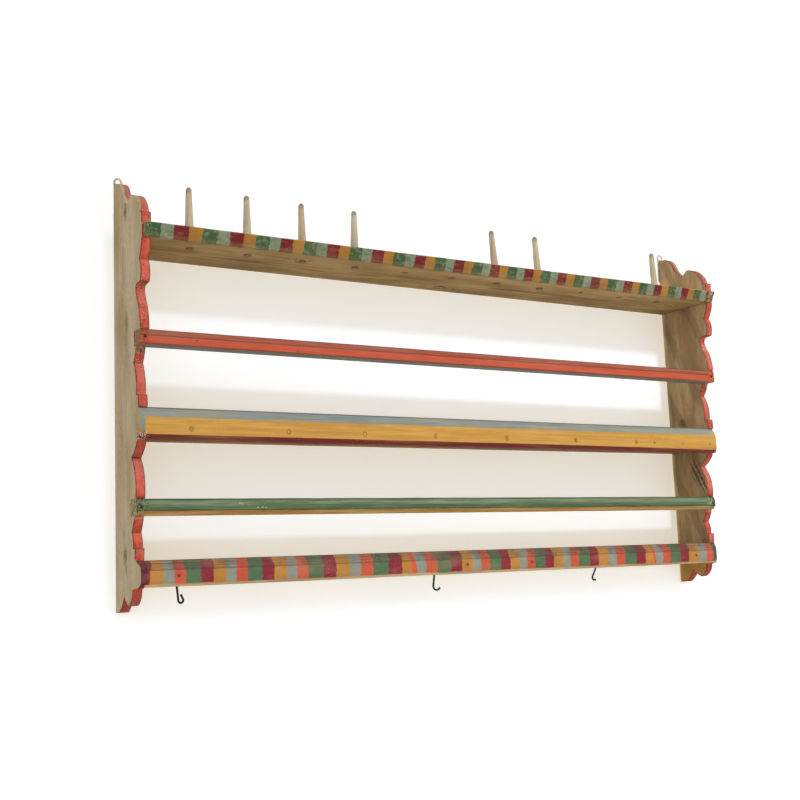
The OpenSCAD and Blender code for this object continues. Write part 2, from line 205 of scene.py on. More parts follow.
class Tree:
    """Makes the nodes of one tree."""

    def __init__(self, tree: bpy.types.NodeTree) -> None:
        """Takes over a node tree and clears it."""
        self.tree = tree
        tree.nodes.clear()

    def node(
        self,
        kind: str,
        settings: Union[dict, None] = None,
        sockets: Union[dict, None] = None,
    ) -> bpy.types.Node:
        """Makes a node.

        Args:
            kind: Type of the node.
            settings: Its own settings, set first. "stops" holds a ramp's stops.
            sockets: Values or links by the name or number of an input.

        Returns:
            The node.
        """
        made = self.tree.nodes.new(kind)
        for key, value in (settings or {}).items():
            if key == "stops":
                self._set_stops(made.color_ramp, value)
            else:
                setattr(made, key, value)
        for key, value in (sockets or {}).items():
            if isinstance(value, Flow):
                self.tree.links.new(value.socket, made.inputs[key])
            else:
                made.inputs[key].default_value = value
        return made

    def take(
        self,
        kind: str,
        output: Union[str, int] = 0,
        settings: Union[dict, None] = None,
        sockets: Union[dict, None] = None,
    ) -> Flow:
        """Makes a node and takes one of its outputs.

        Args:
            kind: Type of the node.
            output: Name or number of the output.
            settings: Its own settings.
            sockets: Values or links by the name or number of an input.

        Returns:
            The output.
        """
        return Flow(self, self.node(kind, settings, sockets).outputs[output])

    @staticmethod
    def _set_stops(ramp: bpy.types.ColorRamp, stops: Sequence[tuple[float, Colour]]) -> None:
        """Sets hard stops on a ramp.

        Args:
            ramp: Ramp to set.
            stops: Place and colour of each stop.
        """
        ramp.interpolation = "CONSTANT"
        while len(ramp.elements) < len(stops):
            ramp.elements.new(1.0)
        for element, (spot, colour) in zip(ramp.elements, stops):
            element.position = spot
            element.color = colour

    def maths(self, operation: str, *terms: Term) -> Flow:
        """Makes a Math node from numbers and values."""
        return self.take("ShaderNodeMath", 0, {"operation": operation}, dict(enumerate(terms)))

    def vector(self, operation: str, *terms: Term) -> Flow:
        """Makes a Vector Math node from vectors."""
        return self.take("ShaderNodeVectorMath", 0, {"operation": operation}, dict(enumerate(terms)))

    def scaled(self, value: Flow, factor: Term) -> Flow:
        """Multiplies a vector or a colour by a number."""
        return self.take("ShaderNodeVectorMath", 0, {"operation": "SCALE"}, {0: value, "Scale": factor})

    def split(self, value: Flow) -> tuple[Flow, Flow, Flow]:
        """Splits a vector into its three parts."""
        node = self.node("ShaderNodeSeparateXYZ", None, {0: value})
        return tuple(Flow(self, output) for output in node.outputs)

    def ray(self, output: str) -> Flow:
        """Reads the length or the kind of the ray that looks."""
        return self.take("ShaderNodeLightPath", output)

    def clear(self) -> Flow:
        """Makes a shader that shows what is behind it."""
        return self.take("ShaderNodeBsdfTransparent")

    def blend_shaders(self, share: Term, under: Flow, over: Flow) -> Flow:
        """Mixes two shaders by a share."""
        return self.take("ShaderNodeMixShader", 0, None, {0: share, 1: under, 2: over})


class Bench(Tree):
    """The tree of one material, with the places and directions that finishes go by."""

    def __init__(self, name: str) -> None:
        """Starts an empty material.

        Args:
            name: Name of the material.
        """
        self.material = bpy.data.materials.new(name)
        self.material.use_nodes = True
        super().__init__(self.material.node_tree)
        self.place = self.scaled(self.take("ShaderNodeTexCoord", "Object"), 1 / MM)
        self.x, self.y, self.z = self.split(self.place)
        self.deep = -self.y
        self.high = self.z + FEET
        facing = self.take("ShaderNodeNewGeometry", "Normal")
        self.sideways, self.backward, self.upward = self.split(facing)
        self.forward = -self.backward

    def attribute(self, name: str) -> Flow:
        """Reads a number that a mesh carries under a name."""
        return self.take("ShaderNodeAttribute", "Fac", {"attribute_name": name})

    def noise(self, size: Size, detail: float = 3.0, seed: float = 0.0, rough: float = 0.55) -> Flow:
        """Makes cloudy noise.

        Args:
            size: Size of its patches along X, Y and Z, in millimetres.
            detail: Number of finer layers.
            seed: Shift that gives another cloud.
            rough: Strength of the finer layers.

        Returns:
            A value round 0.5.
        """
        spot = self._grid(size, (seed, seed * 1.7 + 3.1, seed * 2.3 + 7.7))
        sockets = {"Vector": spot, "Scale": 1.0, "Detail": detail, "Roughness": rough}
        return self.take("ShaderNodeTexNoise", 0, {"noise_dimensions": "3D"}, sockets)

    def specks(self, size: Size, seed: float = 0.0) -> Flow:
        """Makes scattered spots.

        Args:
            size: Space between the spots along X, Y and Z, in millimetres.
            seed: Shift that gives another scatter.

        Returns:
            The distance from the nearest spot, as a share of the space.
        """
        spot = self._grid(size, (seed, seed * 1.3 + 5.3, seed * 2.1 + 1.9))
        sockets = {"Vector": spot, "Scale": 1.0}
        return self.take("ShaderNodeTexVoronoi", "Distance", {"feature": "F1"}, sockets)

    def _grid(self, size: Size, shift: Size) -> Flow:
        """Gives each place as a number of patches of a size, with a shift."""
        return self.vector("MULTIPLY_ADD", self.place, [1 / length for length in size], shift)

    def levels(self, *bands: Triple) -> Flow:
        """Marks bands of height.

        Args:
            bands: Middle, half of the width and fade of each band.

        Returns:
            1 inside any of the bands and 0 outside.
        """
        marked = self.high.band(*bands[0])
        for band in bands[1:]:
            marked = marked.most(self.high.band(*band))
        return marked

    def reach(self, along: float, height: float, squash: float = 1.0) -> Flow:
        """Measures how far a place on the front lies from a point.

        Args:
            along: The point's X, in millimetres.
            height: The point's height above the feet.
            squash: How much more the height counts than the length.

        Returns:
            The distance in millimetres.
        """
        off, up = self.x - along, (self.high - height) * squash
        return (off * off + up * up) ** 0.5

    def blend(self, share: Term, under: Term, over: Term, kind: str = "MIX") -> Flow:
        """Lays one colour over another.

        Args:
            share: How much of the upper colour shows, from 0 to 1.
            under: Lower colour.
            over: Upper colour.
            kind: Blend type of the Mix node.

        Returns:
            The mixed colour.
        """
        settings = {"data_type": "RGBA", "blend_type": kind, "clamp_factor": True}
        return self.take("ShaderNodeMix", 2, settings, {0: share, 6: under, 7: over})

    def coats(self, ground: Term, *coats: tuple[Term, Term]) -> Flow:
        """Lays colours over a ground in turn.

        Args:
            ground: Lowest colour.
            coats: Share that each coat covers, from 0 to 1, and its colour.

        Returns:
            The mixed colour.
        """
        for share, colour in coats:
            ground = self.blend(share, ground, colour)
        return ground

    def over(self, share: Term, under: Skin, upper: Skin) -> Skin:
        """Lays one finish over another.

        Args:
            share: How much of the upper finish shows, from 0 to 1.
            under: Lower finish.
            upper: Upper finish.

        Returns:
            The mixed finish.
        """
        rough = under.rough + (upper.rough - under.rough) * share
        relief = under.relief + (upper.relief - under.relief) * share
        return Skin(self.blend(share, under.colour, upper.colour), rough, relief)

    def crumbs(self, share: Term, under: Skin, dark: Colour, light: Colour, size: float = 3.0) -> Skin:
        """Breaks a finish into dark cracks and pale chips.

        Args:
            share: Where it is broken, from 0 to 1.
            under: The sound finish.
            dark: Colour of the cracks.
            light: Colour of the chips.
            size: Size of a chip, in millimetres.

        Returns:
            The broken finish.
        """
        grit = self.noise((size, size, size), 2, size * 7.1, 0.6)
        colour = self.blend(grit.rise(0.47, 0.4) * share, under.colour, dark)
        colour = self.blend(grit.rise(0.55, 0.61) * share, colour, light)
        return Skin(colour, under.rough + share * 0.2, under.relief + grit * share * 0.5)

    def close(self, skin: Skin, metal: float = 0.0, gloss: float = 0.22) -> bpy.types.Material:
        """Ends the tree in a shader.

        Args:
            skin: What the shader shows.
            metal: How metallic it is.
            gloss: Its specular level.

        Returns:
            The finished material.
        """
        bump = {"Strength": 1.0, "Distance": MM, "Height": skin.relief}
        sockets = {
            "Base Color": skin.colour,
            "Roughness": skin.rough,
            "Metallic": metal,
            "Specular IOR Level": gloss,
            "Normal": self.take("ShaderNodeBump", 0, None, bump),
        }
        return self.end(self.take("ShaderNodeBsdfPrincipled", 0, None, sockets))

    def end(self, shader: Flow) -> bpy.types.Material:
        """Sends a shader to the output and gives back the material."""
        self.node("ShaderNodeOutputMaterial", None, {"Surface": shader})
        return self.material


@dataclass(frozen=True)
class Knot:
    """Where a branch grew through a plank, in millimetres along and across its grain."""

    along: float
    across: float
    radius: float
    stretch: float = 1.5
    depth: float = 0.9


@dataclass(frozen=True)
class Pine:
    """Bare old pine: the rings of one log, its fibres, flecks, knots and stains."""

    grain: Grain
    pale: Colour
    warm: Colour
    late: Colour
    pith: Pair = (60.0, 45.0)
    ring: float = 4.4
    wander: float = 10.0
    bands: float = 0.45
    knots: tuple[Knot, ...] = ()
    seed: float = 0.0
    flecks: float = 0.35
    heart: Colour = pot(40, 33, 24)
    heart_pale: Colour = pot(100, 78, 54)

    def size(self, along: float, across: float, through: float) -> Size:
        """Turns sizes along, across and through the plank into sizes along X, Y and Z."""
        return (through, across, along) if self.grain is Grain.UPRIGHT else (along, across, through)

    def skin(self, bench: Bench) -> Skin:
        """Builds the wood.

        Args:
            bench: Tree to build in.

        Returns:
            The finish.
        """
        upright = self.grain is Grain.UPRIGHT
        along = bench.high if upright else bench.x
        through = bench.x if upright else bench.high
        lift, dark = self._knots(bench, along)
        sway = (bench.noise(self.size(420, 160, 160), 1, self.seed) - 0.5) * (2 * self.wander)
        tilt = (bench.noise(self.size(600, 200, 200), 1, self.seed + 4) - 0.5) * (2 * self.wander)
        off = bench.deep - self.pith[0] + sway
        away = through - self.pith[1] + tilt
        reach = (off * off + away * away) ** 0.5 + lift
        jitter = bench.noise(self.size(60, 5, 5), 2, self.seed + 9)
        saw = (reach / self.ring + jitter * 0.5).fraction()
        late = saw.rise(0.3, 0.86) * (1 - saw.rise(0.92, 1.0))
        fibre = bench.noise(self.size(55, 1.3, 1.3), 4, self.seed + 2, 0.65)
        streak = bench.noise(self.size(260, 9, 9), 3, self.seed + 6)
        cloud = bench.noise(self.size(190, 60, 60), 3, self.seed + 11)
        fleck = bench.noise(self.size(17, 1.5, 1.5), 3, self.seed + 13, 0.7)
        colour = bench.coats(
            self.pale,
            (cloud.rise(0.38, 0.64), self.warm),
            (late * (cloud + 0.4) * self.bands, self.late),
            (fleck.rise(0.54, 0.7) * self.flecks, self.late),
        )
        colour = bench.scaled(colour, 0.64 + fibre * 0.44 + streak * 0.3)
        colour = bench.blend(dark, colour, bench.blend(fibre, self.heart, self.heart_pale))
        relief = late * 0.05 + fibre * 0.14 - fleck * 0.08 - dark * 0.1
        return Skin(colour, 0.72 + fibre * 0.16 - dark * 0.1, relief)

    def _knots(self, bench: Bench, along: Flow) -> tuple[Term, Term]:
        """Works out how the knots push the rings aside and where they are dark.

        Args:
            bench: Tree to build in.
            along: Place along the grain, in millimetres.

        Returns:
            The push in millimetres and the share of dark wood.
        """
        lift: Term = 0.0
        dark: Term = bench.maths("ADD", 0.0, 0.0)
        if not self.knots:
            return lift, dark
        ragged = (bench.noise((7, 7, 7), 2, self.seed + 21) - 0.5) * 0.9
        feather = bench.noise(self.size(9, 2.2, 2.2), 3, self.seed + 22, 0.7)
        for knot in self.knots:
            up = (along - knot.along) / knot.stretch
            out = bench.deep - knot.across
            ring = (up * up + out * out) ** 0.5 / knot.radius + ragged
            lift = (1 - ring.rise(0.4, 4.0)) * (knot.radius * 2.4) + lift
            core = 1 - ring.rise(0.3, 1.5)
            dark = dark.most((core * 0.22 + feather).rise(0.6, 0.74) * core.rise(0.0, 0.4) * knot.depth)
        return lift, dark


@dataclass(frozen=True)
class Paint:
    """An old brushed paint over wood."""

    worn: Colour
    brush: Size
    seed: float = 0.0
    wear: float = 0.3
    haze: float = 0.25
    dirt: float = 0.3

    def skin(self, bench: Bench, colour: Flow, wood: Skin, bare: Term = 0.0) -> Skin:
        """Brushes a colour on the wood and wears it.

        Args:
            bench: Tree to build in.
            colour: Fresh colour of the paint.
            wood: The wood under it.
            bare: Extra wear, from 0 to 1.

        Returns:
            The finish.
        """
        stroke = bench.noise(self.brush, 4, self.seed + 1, 0.65)
        haze = bench.noise(tuple(length * 3 for length in self.brush), 3, self.seed + 2)
        smut = bench.noise((5, 5, 5), 4, self.seed + 6, 0.75)
        shade = bench.coats(
            bench.scaled(colour, 0.66 + stroke * 0.5 + haze * 0.2),
            (haze.rise(0.5, 0.72) * self.haze, self.worn),
            (smut.rise(0.56, 0.74) * self.dirt, GRIME_AND_SHADE),
        )
        spots = bench.specks((5.5, 5.5, 5.5), self.seed + 3)
        gate = bench.noise((60, 60, 60), 3, self.seed + 4)
        chips = (1 - spots.rise(0.08, 0.2)) * gate.rise(0.52, 0.6)
        level = 0.86 - self.wear * 0.5
        rubbed = (bench.noise(self.brush, 5, self.seed + 5, 0.7) + bare * 0.55).rise(level, level + 0.1)
        coat = Skin(shade, 0.44 + haze * 0.2 + smut * 0.1, stroke * 0.1 + 0.12)
        return bench.over(chips.most(rubbed), coat, wood)


@dataclass(frozen=True)
class Stripes:
    """Bands of colour laid by eye along a moulding, round after round."""

    pots: tuple[Colour, ...]
    starts: tuple[float, ...]
    first: float
    pace: float
    sway: tuple[float, ...]
    end_shift: float = 0.0
    end_zone: Pair = (700.0, 740.0)
    seed: float = 0.0

    def count(self, bench: Bench) -> Flow:
        """Counts the rounds of colour along the length.

        Args:
            bench: Tree to build in.

        Returns:
            The number of rounds from the left end.
        """
        share = bench.x / HALF_LENGTH
        rounds = share * self.pace + self.first + bench.x.rise(*self.end_zone) * self.end_shift
        for wave, swing in enumerate(self.sway, start=1):
            rounds = rounds + (share * (math.pi * wave / 2) + math.pi * wave / 2).sine() * swing
        return rounds

    def colour(self, bench: Bench, shift: Term = 0.0) -> Flow:
        """Picks the colour of each band.

        Args:
            bench: Tree to build in.
            shift: Shift of the borders, in rounds.

        Returns:
            The colour.
        """
        ragged = bench.noise((26, 14, 12), 2, self.seed) - 0.5
        bristle = bench.noise((3, 3, 1.4), 2, self.seed + 5) - 0.5
        rounds = (self.count(bench) + ragged * 0.06 + bristle * 0.02 + shift).most(0.01)
        stops = list(zip(self.starts, self.pots))
        colour = bench.take("ShaderNodeValToRGB", "Color", {"stops": stops}, {0: rounds.fraction()})
        return bench.scaled(colour, 0.82 + bench.noise((44, 300, 300), 1, self.seed + 8) * 0.36)


BARE_SIDE = pot(186, 168, 136)
WARM_SIDE = pot(168, 146, 110)
LATE_SIDE = pot(124, 104, 74)
BARE_INNER = pot(184, 158, 116)
WARM_INNER = pot(160, 132, 92)
LATE_INNER = pot(118, 88, 58)
SHELF_PALE = pot(190, 162, 108)
SHELF_WARM = pot(166, 136, 86)
SHELF_LATE = pot(112, 82, 52)
CORAL = pot(204, 82, 58)
CORAL_DEEP = pot(184, 66, 46)
# The next two coral shades serve twice: the paler for worn paint and as painted light on faces that look up,
# the darker for brush strokes and as painted shade on faces that look down.
CORAL_WORN_AND_LIT = pot(204, 116, 98)
CORAL_DARK_AND_SHADE = pot(140, 54, 42)
CORAL_GREY = pot(156, 94, 78)
OCHRE = pot(189, 138, 58)
OCHRE_WORN = pot(206, 164, 96)
MAROON = pot(118, 34, 38)
SLATE = pot(132, 148, 148)
SLATE_WORN = pot(150, 144, 124)
GREEN = pot(84, 110, 72)
PALE_GREEN = pot(146, 152, 124)
# Dark dirt on the paint, and also the colour of the painted shade beside the coral edge of the side boards.
GRIME_AND_SHADE = pot(62, 52, 42)


def picked(geometry: Sequence, kind: type) -> list:
    """Picks one kind of element out of what an operator gives back."""
    return [item for item in geometry if isinstance(item, kind)]


def any_edge(edge: bmesh.types.BMEdge) -> bool:
    """Picks every edge."""
    return True


def is_long(edge: bmesh.types.BMEdge) -> bool:
    """Tells whether an edge runs along the length of the rack."""
    return abs(edge.verts[0].co.x - edge.verts[1].co.x) > 40 * MM


def cut_by(mesh: bmesh.types.BMesh, geometry: list, spot: Size, facing: Size, clear: bool = False) -> list:
    """Cuts a mesh by a plane.

    Args:
        mesh: Mesh to cut.
        geometry: Its parts that are cut.
        spot: A point of the plane, in millimetres.
        facing: Direction that the plane faces.
        clear: Whether what lies past the plane is cut off.

    Returns:
        The edges of the cut.
    """
    place = [part * MM for part in spot]
    cut = bmesh.ops.bisect_plane(
        mesh, geom=geometry, dist=HAIR, plane_co=place, plane_no=facing, clear_outer=clear
    )
    return picked(cut["geom_cut"], bmesh.types.BMEdge)


class Workpiece:
    """A mesh under work, in metres and in the rack's own frame."""

    def __init__(self, name: str) -> None:
        """Starts an empty mesh.

        Args:
            name: Name of the piece.
        """
        self.name = name
        self.mesh = bmesh.new()

    @classmethod
    def copy_of(cls, node: str, name: str) -> "Workpiece":
        """Copies a node, joins its triangles and makes its flat faces whole.

        Args:
            node: Name of the node.
            name: Name of the piece.

        Returns:
            The copy.
        """
        piece = cls(name)
        mesh = piece.mesh
        mesh.from_mesh(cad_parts[node].data)
        bmesh.ops.remove_doubles(mesh, verts=mesh.verts, dist=WELD)
        bmesh.ops.dissolve_limit(mesh, angle_limit=FLAT, verts=mesh.verts, edges=mesh.edges)
        return piece

    def ease(self, width: float, chosen: Callable[[bmesh.types.BMEdge], bool]) -> None:
        """Rounds the sharp edges that a test picks.

        Args:
            width: Width of the rounding, in millimetres.
            chosen: Test of an edge.
        """
        edges = [
            edge
            for edge in self.mesh.edges
            if edge.is_convex and edge.calc_face_angle(0) > SHARP and chosen(edge)
        ]
        bmesh.ops.bevel(
            self.mesh, geom=edges, offset=width * MM, offset_type="OFFSET", segments=2, profile=0.5,
            affect="EDGES", material=-1, clamp_overlap=False,
        )

    def saw_end(self, place: float, deep: float = 0.0, skew: float = 0.0) -> None:
        """Saws an end off.

        Args:
            place: Where the new end lies along X, in millimetres.
            deep: Distance from the wall at which it lies there.
            skew: How much longer the piece gets per millimetre towards the wall.
        """
        facing = (math.copysign(1, place), -skew, 0)
        rim = cut_by(self.mesh, self._everything(), (place, -deep, 0), facing, clear=True)
        bmesh.ops.edgeloop_fill(self.mesh, edges=rim)

    def slice_along(self, places: Sequence[float]) -> None:
        """Cuts rings across the length.

        Args:
            places: Places along X, in millimetres.
        """
        for place in places:
            cut_by(self.mesh, self._everything(), (place, 0, 0), (1, 0, 0))

    def _everything(self) -> list:
        """Lists the whole mesh."""
        return [*self.mesh.verts, *self.mesh.edges, *self.mesh.faces]

    def wear(self, amount: float, size: float, seed: int, worn: Callable[[Vector], bool]) -> None:
        """Moves the skin in and out, as use and an uneven plane leave it.

        Args:
            amount: Largest move, in millimetres.
            size: Size of the hollows, in millimetres.
            seed: Number that gives another pattern.
            worn: Test of a place given in millimetres.
        """
        self.mesh.normal_update()
        moves = []
        for vert in self.mesh.verts:
            spot = vert.co / MM
            if worn(spot):
                swing = noise.noise(spot / size + Vector((seed * 7.3, seed * 3.1, seed * 5.7)))
                moves.append((vert, -vert.normal * (abs(swing) * amount * MM)))
        for vert, move in moves:
            vert.co += move

    def set_at(self, along: float, deep: float, high: float, lean: float) -> None:
        """Turns the faces outwards, leans the piece and sets it in its place.

        Args:
            along: X of its zero point, in millimetres.
            deep: Distance of that point from the wall.
            high: Height of that point above the feet.
            lean: Lean of its top to the right, in degrees.
        """
        bmesh.ops.recalc_face_normals(self.mesh, faces=self.mesh.faces)
        spot = Vector((along, -deep, high - FEET)) * MM
        turn = Matrix.Translation(spot) @ Matrix.Rotation(math.radians(lean), 4, "Y")
        bmesh.ops.transform(self.mesh, matrix=turn, verts=self.mesh.verts)

    def hand_over(
        self, material: bpy.types.Material, slot: str, *nodes: str, crease: float = 35.0
    ) -> bpy.types.Object:
        """Makes the object, in the place of the nodes that it stands for.

        Args:
            material: Its finish.
            slot: Not used.
            nodes: Nodes that it replaces.
            crease: Angle past which an edge stays sharp, in degrees.

        Returns:
            The object.
        """
        limit = HALF_LENGTH * MM
        for vert in self.mesh.verts:
            vert.co.x = max(-limit, min(limit, vert.co.x))
        data = bpy.data.meshes.new(self.name)
        self.mesh.to_mesh(data)
        self.mesh.free()
        data.materials.append(material)
        data.polygons.foreach_set("use_smooth", [True] * len(data.polygons))
        data.set_sharp_from_angle(angle=math.radians(crease))
        made = bpy.data.objects.new(self.name, data)
        bpy.context.scene.collection.objects.link(made)
        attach(made, BODY)
        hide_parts(*nodes)
        LOG.info("%s: %d faces", self.name, len(data.polygons))
        return made


def dress(node: str, material: bpy.types.Material) -> None:
    """Gives a node that keeps its own shape its finish.

    Args:
        node: Name of the node.
        material: Its finish.
    """
    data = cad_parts[node].data
    data.materials.clear()
    data.materials.append(material)
    LOG.info("%s: dressed", node)


def spread(step: float) -> list[float]:
    """Lists places along the rack, closer together near both ends.

    Args:
        step: Distance between two places in the middle, in millimetres.

    Returns:
        The places along X, in millimetres.
    """
    reach = HALF_LENGTH - END_SPAN
    inner = [step * index - reach for index in range(int(2 * reach / step) + 1)]
    return sorted(inner + [side * end for side in (-1, 1) for end in END_RINGS])


@dataclass(frozen=True)
class Flame:
    """The slanting dark strokes of a branch that was sawn along its length."""

    across: float = 92.0
    along: float = 262.0
    long: float = 66.0
    wide: float = 27.0
    slope: float = 0.49
    stroke: float = 1.9

    def strokes(self, bench: Bench, seed: float) -> Flow:
        """Draws the strokes on the inside of a board.

        Args:
            bench: Tree to build in.
            seed: Shift that gives another set of strokes.

        Returns:
            The share of the strokes, from 0 to 1.
        """
        off, up = bench.deep - self.across, bench.high - self.along
        run = off * math.sin(self.slope) - up * math.cos(self.slope)
        side = off * math.cos(self.slope) + up * math.sin(self.slope)
        round_off = ((run / self.long) ** 2 + (side / self.wide) ** 2) ** 0.5
        sway = (bench.noise((20, 9, 22), 3, seed, 0.6) - 0.5) * 9
        strokes = ((side + sway) / self.stroke).sine().rise(-0.6, 0.4)
        grit = bench.noise((6, 2.5, 7), 3, seed + 2, 0.7).rise(0.35, 0.5)
        return round_off.rise(1.0, 0.4) * strokes * grit


@dataclass
class SideBoard:
    """One upright board with its fretted and painted front edge."""

    side: Side
    name: str
    knots: tuple[Knot, ...]
    seed: float
    trim: float = 2.4
    arris: float = 0.8
    step: float = 8.0
    longest: float = 70.0
    back: float = -2.5
    rim: float = 1.0
    flame: Flame = Flame()
    slots: tuple[Pair, ...] = ((45.0, 95.0), (177.5, 208.5), (316.0, 378.0), (493.5, 522.5))
    steps: tuple[float, ...] = (118.0, 147.8, 286.0, 401.0, 463.5, 612.0, 656.0, 744.0)
    shelf_joint: Triple = (708, 14, 1.0)
    pale_lobes: tuple[Triple, ...] = ((602, 22, 14), (262, 34, 16), (430, 26, 14))
    chipped: tuple[Triple, ...] = ((576, 44, 20), (478, 22, 10), (732, 14, 8))
    faded: tuple[Triple, ...] = ((262, 26, 14), (560, 24, 12))
    olive_step: Triple = (487, 5, 3)
    honey_step: Triple = (174.5, 2.5, 1.6)
    crown: Pair = (738, 780)
    red_foot: Pair = (52, 26)
    stained_foot: Pair = (62, 40)
    inside: Pair = (738, 744)
    rim_dirt: Colour = pot(92, 54, 44)
    # colour of the painted shade at the steps of the outline
    step_shade: Colour = pot(84, 40, 34)
    olive_dark: Colour = pot(58, 52, 38)
    olive_pale: Colour = pot(156, 126, 76)
    honey: Colour = pot(196, 148, 92)
    foot_coral: Colour = pot(128, 50, 36)
    faded_coral: Colour = pot(216, 140, 120)
    crown_streak: Colour = pot(104, 44, 40)
    pock: Colour = pot(96, 40, 34)
    chip: Colour = pot(224, 176, 154)
    moss_outside: Colour = pot(150, 146, 112)
    moss_inside: Colour = pot(128, 116, 78)
    blush: Colour = pot(164, 138, 116)
    flame_dark: Colour = pot(54, 40, 30)
    foot_stain: Colour = pot(172, 128, 58)

    def build(self) -> None:
        """Builds the board with worn arrises and a ring for the overlap of the paint."""
        piece = Workpiece.copy_of(self.name, f"{self.name}_board")
        mesh = piece.mesh
        piece.ease(self.arris, self._is_outline)
        for edge in dict.fromkeys(edge for face in self._flats(mesh) for edge in face.edges):
            cuts = int(edge.calc_length() / MM / self.step)
            if cuts:
                bmesh.ops.subdivide_edges(mesh, edges=[edge], cuts=cuts)
        flats = self._flats(mesh)
        self._mark_front(mesh)
        bmesh.ops.inset_region(
            mesh, faces=flats, thickness=self.trim * MM, use_boundary=True, use_even_offset=True
        )
        mark = mesh.verts.layers.float["trim"]
        for face in flats:
            for vert in face.verts:
                vert[mark] = 0.0
        piece.hand_over(self._finish(), "side_wood", self.name)

    @staticmethod
    def _flats(mesh: bmesh.types.BMesh) -> list[bmesh.types.BMFace]:
        """Finds the two broad faces of the board."""
        return [face for face in mesh.faces if abs(face.normal.x) > 0.99 and face.calc_area() > 1e-3]

    @staticmethod
    def _is_outline(edge: bmesh.types.BMEdge) -> bool:
        """Tells whether an edge lies on the outline of the board and not in a housing."""
        depth = HALF_LENGTH - abs((edge.verts[0].co + edge.verts[1].co).x / MM / 2)
        return depth < 0.1 or depth > BOARD - 0.1

    def _mark_front(self, mesh: bmesh.types.BMesh) -> None:
        """Marks the front edge that is painted, with the arrises beside it.

        Args:
            mesh: Mesh of the board.
        """
        mark = mesh.verts.layers.float.new("trim")
        for face in filter(self._is_front, mesh.faces):
            for vert in face.verts:
                vert[mark] = 1.0
        for _ in range(2):
            rims = [
                face
                for face in mesh.faces
                if 0.15 < abs(face.normal.x) < 0.99 and any(vert[mark] for vert in face.verts)
            ]
            for face in rims:
                depths = [vert.co.y / MM for vert in face.verts]
                if max(depths) - min(depths) < self.longest and face.calc_center_median().y / MM < self.back:
                    for vert in face.verts:
                        vert[mark] = 1.0

    def _is_front(self, face: bmesh.types.BMFace) -> bool:
        """Tells whether a face crosses the whole painted edge and lies in no slot.

        Args:
            face: Face of the board.

        Returns:
            True for a face of the painted edge.
        """
        middle = face.calc_center_median() / MM
        places = [vert.co.x / MM for vert in face.verts]
        if max(places) - min(places) < BOARD * 0.7 or middle.y > self.back:
            return False
        return not any(low - 0.2 < middle.z + FEET < top + 0.2 for low, top in self.slots)

    def _finish(self) -> bpy.types.Material:
        """Builds bare wood with coral paint on the edge and a painted shade on the wood beside the paint.

        Returns:
            The finish.
        """
        bench = Bench(f"{self.name}_wood_and_coral")
        wood = self._wood(bench)
        patch = bench.noise((12, 22, 22), 3, self.seed + 31)
        crown = (bench.high + (patch - 0.5) * 40).rise(*self.crown)
        depth = HALF_LENGTH - abs(bench.x)
        colour = self._coral(bench, patch, crown, depth)
        bald = crown * (depth + (patch - 0.5) * 14).rise(8, 4) + crown * 0.2
        paint = Paint(CORAL_WORN_AND_LIT, (9, 16, 26), self.seed + 40, wear=0.24).skin(bench, colour, wood, bald)
        edge = bench.attribute("trim") + (bench.noise((6, 6, 9), 3, self.seed + 50) - 0.5) * 0.9
        joints = [((low + top) / 2, (top - low) / 2 + 1.5, 1.0) for low, top in self.slots]
        edge = edge - bench.levels(self.shelf_joint, *joints) * abs(bench.sideways).rise(0.1, 0.4)
        lap = edge.rise(0.66, 0.74)
        # painted shade: a dark band on the bare wood just beside the edge of the coral paint
        shadow = edge.rise(0.5, 0.64) * (1 - lap) * 0.35
        return bench.close(bench.over(lap, wood.coated(shadow, GRIME_AND_SHADE), paint))

    def _coral(self, bench: Bench, patch: Flow, crown: Flow, depth: Flow) -> Flow:
        """Colours the coral paint, with the dirt and the chips of the edge, painted light on faces that look
        up and painted shade on faces that look down and at the steps.

        Args:
            bench: Tree to build in.
            patch: Cloudy noise in large patches.
            crown: Where the crown of the board is, from 0 to 1.
            depth: Distance from the outer face, in millimetres.

        Returns:
            The colour.
        """
        height, up = bench.high, bench.upward
        speck = bench.noise((3, 3, 3), 3, self.seed + 33, 0.7)
        stroke = bench.noise((2.2, 6, 16), 3, self.seed + 35, 0.6)
        rims = abs(depth - BOARD / 2).rise(BOARD / 2 - self.rim - 1.8, BOARD / 2 - self.rim)
        rims = rims * (1 - abs(bench.sideways).rise(0.9, 0.98))
        rims = rims * ((patch * 0.5 + speck * 0.6).rise(0.4, 0.6) * 0.6 + 0.4)
        share = 1 if self.side is Side.LEFT else 0.35
        smudge = (height + (patch - 0.5) * 14).band(*self.olive_step) * share
        colour = bench.coats(
            bench.blend(patch.rise(0.38, 0.6), CORAL, CORAL_DEEP),
            # painted light: faces of the edge that look up turn paler
            (up.rise(0.1, 0.6) * 0.5, CORAL_WORN_AND_LIT),
            (bench.levels(*self.pale_lobes) * (patch + 0.1) * 0.6, CORAL_WORN_AND_LIT),
            # painted shade: faces of the edge that look down turn darker
            ((-up).rise(0.25, 0.9) * 0.45, CORAL_DARK_AND_SHADE),
            (stroke.rise(0.55, 0.68) * 0.5, CORAL_DARK_AND_SHADE),
            (crown * 0.85, CORAL_GREY),
            (rims, self.rim_dirt),
            # painted shade: thin dark lines at the steps of the outline, where the notches undercut
            (bench.levels(*((place, 0.6, 1.0) for place in self.steps)) * 0.65, self.step_shade),
            (smudge * 0.85, bench.blend(speck.rise(0.42, 0.56), self.olive_dark, self.olive_pale)),
            ((height + (patch - 0.5) * 6).band(*self.honey_step) * 0.7, self.honey),
            (height.rise(*self.red_foot) * (patch + 0.2) * 0.7, self.foot_coral),
        )
        if self.side is Side.RIGHT:
